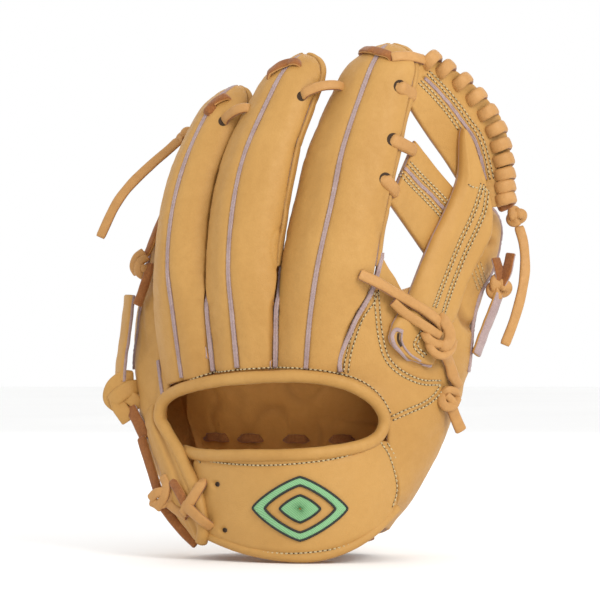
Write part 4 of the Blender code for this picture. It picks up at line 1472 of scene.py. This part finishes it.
def make_whip_lace():
    """The lace that spirals over the web's outer edge, one turn at each hole."""
    spots = np.array(WHIP_SPOTS)
    run = unit(np.gradient(spots, axis=0))
    out = np.column_stack([-run[:, 1], run[:, 0]])
    out[out.sum(1) < 0] *= -1
    turns = []
    for k, (spot, ahead, away) in enumerate(zip(spots, run, out)):
        lean = unit(away + np.array((0.87, 0.5)))

        def place(far, on, lift, spot=spot, ahead=ahead, lean=lean):
            x, z = spot + lean * far + ahead * on
            edge = spot - lean * 2
            return (x, float(web_depth(edge[0], edge[1])) - lift, z)

        points = [place(-4.8, 0, -2.0), place(-4.0, 0, 2.4), place(-0.8, 0, 4.0), place(2.2, 0, 2.8),
                  place(4.0, 0.6, -1.6), place(2.6, 1.6, -5.8), place(0.2, 2.6, -7.2), place(-4.0, 3.2, -3.4)]
        n = np.array((lean[0], 0, lean[1]))
        facing = [AWAY, AWAY, AWAY + 0.3 * n, n + 0.9 * AWAY, n, n - AWAY, -AWAY, -AWAY]
        turns.append(lace(f"whip_turn_{k}", points, facing, 30, 6.6, 2.8))
    whip = joined("web_whip_lace", turns)
    settle(whip, "hand", WEB_BEND, ["web_whip_lace_index_end", "web_whip_lace_thumb_end"])


# ---------------------------------------------------------------- crotch patch and stitching

PATCH_SIDES = [             # height, then its left and right edge
    (72.5, 46.5, 49), (76, 45, 57), (80, 42.5, 65), (84, 39.5, 70.5), (88, 34, 74.5), (91, 29, 73),
    (94, 24.5, 61), (99, 22.3, 51), (106, 24.6, 45.5), (117, 27.5, 42.7), (128, 33.3, 41.4),
    (138.5, 38.4, 39.6),
]


def make_patch():
    def surface(u, v):
        low, high = PATCH_SIDES[0][0], PATCH_SIDES[-1][0]
        z = low + (high - low) * u
        left, right = np.moveaxis(along(PATCH_SIDES, z), -1, 0)
        return pins(THUMB_SKIN, left + (right - left) * v, z, 1.0)

    def relief(face, u, v):
        made = 0.12 * ripple(face, 14, 71)
        for line in CROTCH_LINES:
            made = made - 0.3 * bump(away_from(face, line), 1.7)
        return made

    made = slab("crotch_patch", surface, (110, 70), TAN, relief=relief, thick=1.6, lip=0.7)
    settle(made, "hand", THUMB_BEND)
    tree = surface_of(made, piece("thumb_side_leather"))
    rows = [r for line in CROTCH_LINES for r in rows_on(tree, line)]
    settle(stitches("crotch_stitching", rows, SEWN, 2.5), "hand", THUMB_BEND)
    marks = []
    for k in range(4):
        x, z = 94.0 + 1.9 * k, 139.0 + 0.9 * k      # where a tack row starts
        marks += rows_on(tree, [(x, z), (x - 2.5, z + 6), (x - 4.5, z + 12)], (0,), 0.1, 20)
    settle(stitches("thumb_tack_stitching", marks, SEWN, 2.4, 0.3), "hand", THUMB_BEND)


def make_stitching():
    rows = rows_on(STRAP_SKIN, STRAP_TOP_STITCH, (0,)) + rows_on(STRAP_SKIN, STRAP_LOW_STITCH, (0,))
    rows += rows_on(STRAP_SKIN, STRAP_END, (-1.5, 1.0))
    settle(stitches("strap_stitching", rows, SEWN, 2.5), "hand")
    backs = [piece(f"{name}_back") for name in ROW[1:]]
    rim = surface_of(*backs, piece("crotch_patch"), piece("thumb_side_leather"))
    rows = rows_on(rim, RIM_STITCH, (0,), 0.1, 90)
    settle(stitches("rim_stitching", rows, SEWN, 2.5), "hand")


# ---------------------------------------------------------------- badge

BADGE_CENTRE = (0.0, 27.5)
BADGE_HALF = (24.0, 16.0)
BADGE_ROUND = 1.25          # 1 is a plain diamond and 2 an oval


def badge_point(share, turn):
    across, up = np.cos(turn), np.sin(turn)
    wide, high = BADGE_HALF
    reach = (np.abs(across / wide) ** BADGE_ROUND + np.abs(up / high) ** BADGE_ROUND) ** (-1 / BADGE_ROUND)
    return BADGE_CENTRE[0] + share * reach * across, BADGE_CENTRE[1] + share * reach * up


def make_badge():
    """A plain embroidered diamond with a smaller one inside it, in satin stitch."""
    parts = []
    for inner, outer in ((0.76, 1.0), (0.03, 0.42)):
        def surface(u, v, inner=inner, outer=outer):
            x, z = badge_point(inner + (outer - inner) * u, 2 * math.pi * v)
            return pins(STRAP_SKIN, x, z, 0.55)

        def relief(face, u, v):
            return 0.5 * np.sin(math.pi * np.clip(u, 0, 1)) ** 0.5 + 0.07 * np.sin(v * 2 * math.pi * 110)

        parts.append(slab("badge_part", surface, (12, 420), [LOOKS["badge"]] * 3, relief=relief, thick=0.9,
                          lip=0.3, wrap=True))
    made = joined("strap_badge", parts)
    settle(made, "hand")
    edges, count = [], 260
    for share in (1.01, 0.75, 0.43):
        x, z = badge_point(share, np.linspace(0, 2 * math.pi, count))
        path = pins(STRAP_SKIN, x, z, 0.7)
        path = path + AWAY * (0.1 * np.sin(np.arange(count) * 2.1))[:, None]
        edges.append(sweep("badge_edge", path, AWAY, oval(1.25, 1.2, 8), [LOOKS["badge_edge"]]))
    settle(joined("strap_badge_outline", edges), "hand")


# ---------------------------------------------------------------- laces and knots

KNOT_PULL = 0.74            # how tight a knot is pulled
KNOT_SWELL = 1.2            # and how much fuller its lace looks for it
KNOT_FLAT = 1.1
KNOT_THICK = 2.2
TOP = np.array((0, 0, 1.0))
HEEL_HEIGHT = 9.5           # of the heel lace over the palm's lower edge
HEEL_PITCH = 12.5


def laces(part, routes, facing, count, thick, looks=None):
    """Laces for one piece, each from its points, its width and, if its suede is up, True."""
    return [lace(f"{part}_{k}", path, facing, count, width, thick, looks, *suede_up)
            for k, (path, width, *suede_up) in enumerate(routes)]


def knotted(name, centre, size, axis, side, body, width):
    """A tight overhand knot: its size is across, and side points along its first loop."""
    path, up = knot_run(centre, size * KNOT_PULL, axis, side, KNOT_FLAT)
    made = lace(name, path[::2], up, 120, width * KNOT_SWELL, KNOT_THICK * KNOT_SWELL)
    settle(made, body)


def punch(name, spots):
    """Painted shade of lace holes: dark discs on skins, from (tree, x, z, half width, half height)."""
    points, faces, sides = [], [], 18
    turn = np.linspace(0, 2 * math.pi, sides, endpoint=False)
    for tree, x, z, wide, high in spots:
        base = len(points)
        ring = pins(tree, x + wide * np.cos(turn), z + high * np.sin(turn), 0.12)
        points += [*ring, pin(tree, x, z, 0.3)]
        faces += [[base + (k + 1) % sides, base + k, base + sides] for k in range(sides)]
    settle(make(name, np.array(points), faces, [LOOKS["hole"]]), "hand")


TIP_TIES = {                # over the tip of each finger, in x and z
    "ring": ((-49, 231), (-43, 237), (-37, 240)),
    "middle": ((-17, 249.5), (-8, 255.5), (0.5, 256.5)),
    "index": ((31.5, 262.8), (39.5, 261.8), (48, 258.6)),
}
TIP_LINKS = (("ring", "middle", (-39.6, 227.4), (-27, 233.6)), ("middle", "index", (1.4, 239.4), (17, 248)))
TIP_SINK = [-3.2, -0.8] + [0] * 10 + [-0.8, -3.2]


def make_tip_laces():
    """Suede side up over each welt, then across to the next finger and on to the web."""
    parts, holes = [], []
    for name, route in TIP_TIES.items():
        tree = surface_of(piece(f"{name}_back"), piece(f"{name}_welt"))
        path, up = drape(tree, route, len(TIP_SINK), 1.6)
        path = path + up * np.array(TIP_SINK)[:, None]
        parts.append(lace(f"{name}_tip", path, up, 40, 5.0, 1.7, suede_up=True))
    rise = AWAY * 3.2 + TOP * 2.2
    for left, right, a, b in TIP_LINKS:
        tree = surface_of(piece(f"{left}_back"))
        start, end = pin(tree, *a, -1.5), pin(surface_of(piece(f"{right}_back")), *b, -1.5)
        arch = ((0.12, 0.8), (0.45, 1.3), (0.8, 0.9))
        over = [start + (end - start) * share + rise * high for share, high in arch]
        parts.append(lace(f"{left}_link", [start, *over, end], AWAY + TOP * 0.5, 30, 5.4, 2.4))
        holes.append((tree, a[0] - 0.5, a[1] - 0.3, 2.5, 2.6))
    punch("tip_link_holes", holes)
    start = pin(surface_of(piece("index_back")), 47, 258.6, 0.6)
    end = np.array((64.5, float(web_depth(64.5, 256)) - 1.6, 258.6))
    over = [start * (1 - share) + end * share + AWAY * 2.4 + TOP for share in (0.3, 0.65)]
    parts.append(lace("web_link", [start, *over, end], AWAY + TOP * 0.3, 30, 5.4, 2.4))
    settle(joined("fingertip_lace", parts), "hand")


INDEX_TIES = (((52, 243.9), (60, 239.8)), ((48.4, 216.2), (58.6, 212.4)), ((44.4, 195.8), (51, 189.4)))


def make_index_ties(bars):
    """The ties from the index finger to the web's bars, from the top down."""
    tree = surface_of(piece("index_back"))
    for number, ((a, b), bar) in enumerate(zip(INDEX_TIES, bars), 1):
        start, end = pin(tree, *a, -1.6), pin(bar, *b, -2.2)
        over = [start + AWAY * 3.6 + (end - start) * 0.12, (start + end) / 2 + AWAY * 4.6,
                end + AWAY * 4.6 - (end - start) * 0.12]
        made = lace(f"index_web_lace_{number}", [start, *over, end], (0.25, -1, 0), 34, 6.8, 3.4)
        settle(made, "hand", WEB_BEND)
    punch("web_tie_holes", [(tree, a[0] - 0.6, a[1], 3.2, 3.4) for a, _ in INDEX_TIES])


def before_post(spots):
    """Points in front of the web's foot, from (x, z, how far in front of it)."""
    return [(x, 13.2 + 0.82 * (x - 60) + 0.35 * max(0, z - 122) - lift, z) for x, z, lift in spots]


def before_heel(spots):
    """Points in front of the thumb's heel, from (x, z, how far in front of it)."""
    return [(x, 36 + 0.8 * (x - 78) - lift, z) for x, z, lift in spots]


BASE_OVER = (
    (47.6, 138.2, 4.6), (56.9, 132.8, 4.0), (64.9, 127.8, 4.0), (71.4, 122.6, 4.4), (73.4, 118, 2.4),
)
BASE_UNDER = (
    (47.6, 133.0, 2.0), (52.9, 128, 1.8), (58.9, 123.8, 2.8), (63, 121.2, 4.8), (67.4, 118.2, 5.8),
    (72, 115.2, 4.4),
)
BASE_BANDS = (
    (((71.8, 125.4, 3.4), (74.4, 122.8, 7.0), (76.8, 118.6, 7.6), (77.2, 113.6, 7.4), (74.8, 110.0, 6.4),
      (71.4, 109.4, 3.6)), 6.2),
    (((63.8, 117.6, 2.2), (65.6, 114.2, 4.8), (69, 111.6, 6.0), (73, 110.8, 5.0)), 4.8),
    (((66.0, 113.6, 2.4), (67.2, 109.0, 5.6), (70.6, 105.8, 7.4), (74.6, 105.2, 7.4), (78.2, 108.2, 6.2),
      (79.8, 113, 3.0)), 4.2),
)
LOWER_BANDS = (
    (((74.2, 85.2, 1.6), (76.8, 87.0, 4.2), (80.4, 86.2, 4.2), (82.0, 83.4, 1.6)), 4.4),
    (((74.0, 85.6, 1.0), (73.6, 81.2, 4.0), (76.0, 78.4, 5.0), (79.8, 79.4, 5.0), (82.0, 83.0, 2.4)), 4.8),
    (((75.8, 84.4, 4.0), (78.6, 81.8, 5.6), (80.6, 78.0, 4.4)), 4.4),
)


def make_base_lace():
    """The lace across the foot of the web, with its loop, two knots and its end."""
    free = np.array((30.4, pin(FINGERS, 34, 145)[1] - 4.0, 147.0))
    over = [free, (39, free[1] + 1.4, 143), *before_post(BASE_OVER)]
    parts = [lace("base_over", over, (0.15, -1, 0.35), 110, 5.6, 2.6),
             lace("base_under", before_post(BASE_UNDER), AWAY, 60, 5.0, 2.4)]
    settle(joined("web_base_lace", parts), "hand", WEB_BEND)
    parts = laces("base_band", [(before_post(spots), width) for spots, width in BASE_BANDS], AWAY, 50, 2.5)
    settle(joined("web_base_knot", parts), "hand", WEB_BEND)
    down = [pin(THUMB_SKIN, x, z, 3.0) for x, z in ((75.2, 101), (77.2, 94.8), (80.0, 88.4))]
    drop = [*before_post(((74.2, 107.4, 4.0),)), *down]
    settle(lace("web_base_lace_drop", drop, (0.3, -1, 0), 50, 5.8, 2.4), "hand", WEB_BEND)
    parts = laces("lower_band", [(before_heel(spots), width) for spots, width in LOWER_BANDS], AWAY, 40, 2.4)
    settle(joined("web_lower_knot", parts), "hand", WEB_BEND)
    end = before_heel(((78.4, 79.4, 3.4), (80.0, 74.8, 3.6), (82.0, 70, 3.4), (84.0, 65.6, 3.2)))
    settle(lace("web_lower_end", end, (0.3, -1, 0), 30, 6.2, 2.2), "hand", WEB_BEND)


THUMB_LOOP = [(105, 63.5, 137), (101.6, 60.5, 128), (97, 57, 117), (92.5, 54, 105)]
THUMB_LOOP_ENDS = ((103.2, 156), (111.4, 158.5))
PINKY_LOOP = [(-90.2, 74, 136.5), (-92.7, 73, 114.6), (-94.6, 71.5, 101), (-95.2, 70, 90)]
PINKY_LOOP_END = [(-91, 68, 79), (-87.6, 63, 73.5), (-84, 59, 67), (-81, 55.5, 60.5)]
PINKY_LOOP_BANDS = (
    ([(-88.6, 70, 92), (-93.6, 67.5, 92), (-98.6, 67, 87.6), (-100, 69, 81.6), (-95, 71, 77)], 8.6),
    ([(-84.8, 69, 88), (-90, 65.6, 87), (-95.4, 64.6, 83.8), (-99.4, 67, 80)], 8.2),
    ([(-97.6, 68, 84), (-96, 66, 78.6), (-93, 65.4, 73.8), (-90.4, 66, 70)], 8.0),
    ([(-92, 66, 83.4), (-88.4, 64.8, 81.4), (-84.2, 66, 77.8)], 7.4),
)
SIDE_RUN = [(-69.4, 80, 187), (-72.8, 78, 179), (-77, 76, 169), (-80.4, 74, 160), (-83.6, 72, 156)]
SIDE_TAIL = [(-79.6, 67.6, 153), (-80.4, 65.6, 147.6), (-83, 65.2, 139), (-86, 65.8, 131)]
SIDE_BANDS = (
    ([(-82.6, 70, 159.4), (-86.6, 69.4, 156.4), (-88.0, 69.4, 151.4), (-86.0, 70, 147.4)], 4.4),
    ([(-81.0, 68.6, 156.6), (-84.8, 66.8, 153.4), (-85.4, 67, 148.8), (-82.4, 69, 146)], 4.4),
    ([(-79.4, 68, 150.4), (-83.0, 66.4, 150.6), (-86.6, 67.6, 152.6)], 4.4),
)


def make_end_knots():
    """The tip knots, and the two finger loops with their knots and ends."""
    knotted("pinky_tip_knot", (-60.5, 87.5, 220.5), 4.6, (-0.3, -1, 0.2), (1, 0, 0.6), "pinky", 4.4)
    knotted("thumb_tip_knot", (114.5, 72, 178.2), 4.6, (0.3, -1, 0), (0, 0, 1), "thumb", 4.4)
    knotted("thumb_loop_knot", (105, 64, 140.5), 5.4, (0.3, -1, 0), (0.3, 0, 1), "thumb", 5.6)
    turned = [LOOKS["suede"], LOOKS["edge"]]
    for k, (x, z) in enumerate(THUMB_LOOP_ENDS):
        route = [(106, 64, 142), ((106 + x) / 2 + 0.5, 63, 149), (x, 64, z)]
        made = lace(f"thumb_loop_end_{k + 1}", route, (0.8 - 1.6 * k, -0.8, 0), 30, 6.4, 1.8, turned)
        settle(made, "thumb")
    made = lace("thumb_loop", THUMB_LOOP, (0.86, -0.5, 0.1), 60, 7.0, 2.4, [LOOKS["edge"], LOOKS["tan"]])
    settle(made, "thumb")
    made = lace("pinky_loop", PINKY_LOOP, (-0.93, -0.4, 0), 60, 11.0, 2.8, [LOOKS["tan"], LOOKS["edge"]])
    settle(made, "pinky")
    parts = laces("loop_knot", PINKY_LOOP_BANDS, (-0.2, -1, 0.1), 40, 2.4, TAN[:2])
    settle(joined("pinky_loop_knot", parts), "pinky")
    run = lace("side_run", SIDE_RUN, (-0.9, -0.6, 0.3), 40, 5.0, 2.2, suede_up=True)
    parts = laces("side_band", SIDE_BANDS, (-0.4, -1, 0), 30, 2.2)
    tail = lace("side_tail", SIDE_TAIL, (-0.5, -1, 0), 30, 5.2, 2.2, suede_up=True)
    settle(joined("pinky_side_lace", [run, *parts, tail]), "pinky")
    made = lace("pinky_loop_end", PINKY_LOOP_END, (-0.5, -1, 0), 40, 6.5, 2.0, turned)
    settle(made, "hand", PINKY_BEND)


HEEL_SIDE = [(-83.4, 55, 61.5), (-80.6, 51, 53), (-77.4, 46.5, 43.5), (-74, 41, 33.5)]
STRAP_KNOT_BANDS = (
    ([(-77.8, 35, 30.2), (-74.6, 32.4, 33.4), (-69.6, 31.4, 34), (-65.4, 32, 31.2), (-67, 34, 27.6)], 5.0),
    ([(-71.2, 35, 42), (-69.6, 31.6, 37.6), (-70.4, 30.6, 31.6), (-74.6, 33.6, 25.2)], 5.0),
    ([(-77.6, 36, 29), (-73, 32.6, 27.6), (-68.6, 31.6, 29.4), (-66, 30.4, 33.6)], 5.0),
)
STRAP_RUNS = (
    ([(-50, 21, 40.6), (-51.4, 17.4, 38), (-55.6, 17.8, 31.2), (-60.6, 20.4, 23)], 5.6),
    ([(-60, 21, 28.6), (-55.4, 15.4, 24.6), (-50.4, 12.6, 20.4), (-45.6, 15.6, 16.6)], 5.2),
    ([(-66.4, 30.6, 40), (-62.4, 24.6, 34), (-58.6, 20.4, 27), (-56.6, 18.6, 22.6)], 5.0, True),
    ([(-71.4, 38.6, 26.4), (-66.6, 37.4, 20), (-61.4, 36.4, 14), (-53.6, 34, 6.6)], 5.4, True),
    ([(-68, 31, 28), (-63.6, 26.6, 24.6), (-58.4, 21, 22)], 4.8),
)


def make_strap_laces():
    """The lace that closes the strap, from the heel's side to its knot and its holes."""
    side = lace("heel_side_lace", HEEL_SIDE, (-0.7, -1, 0.2), 50, 5.2, 2.2, suede_up=True)
    settle(side, "hand")
    parts = laces("strap_knot", STRAP_KNOT_BANDS, (-0.5, -1, 0), 40, 2.4)
    settle(joined("strap_lace_knot", parts), "hand")
    parts = laces("strap_run", STRAP_RUNS, (-0.5, -1, 0.1), 44, 2.3)
    settle(joined("strap_lace", parts), "hand")
    punch("strap_lace_holes", [(STRAP_SKIN, *spot, 1.25, 1.25) for spot in EYELETS])


def make_heel_lace():
    """A lace woven through the heel of the palm, with its stitches showing outside and inside."""
    parts = []
    for k in range(7):
        x = -44 + HEEL_PITCH * k
        steps = ((0, -2.5), (1.5, 1.2), (4, 1.6), (6.5, 1.2), (8, -2.5))
        path = [pin(PALM_SKIN, x + step, HEEL_HEIGHT, lift, (0, -1, 0)) for step, lift in steps]
        parts.append(lace(f"heel_turn_{k}", path, TOWARD_PALM, 24, 4.8, 2.0))
    lining = surface_of(piece("palm_lining"))
    for x in (-50, -32, -8, 16):
        steps = ((0, 61, -1.5), (2, 61.5, 1.2), (6, 62, 1.6), (10, 61.5, 1.2), (12, 61, -1.5))
        path = [pin(lining, x + step, z, lift) for step, z, lift in steps]
        parts.append(lace(f"lining_turn_{x}", path, AWAY, 24, 4.6, 1.4, [LOOKS["suede"]] * 2))
    settle(joined("heel_lace", parts), "hand")


UPPER, LOWER = make_web()
make_whip_lace()
make_patch()
make_stitching()
make_badge()
make_tip_laces()
make_index_ties((UPPER, LOWER, LOWER))
make_base_lace()
make_end_knots()
make_strap_laces()
make_heel_lace()
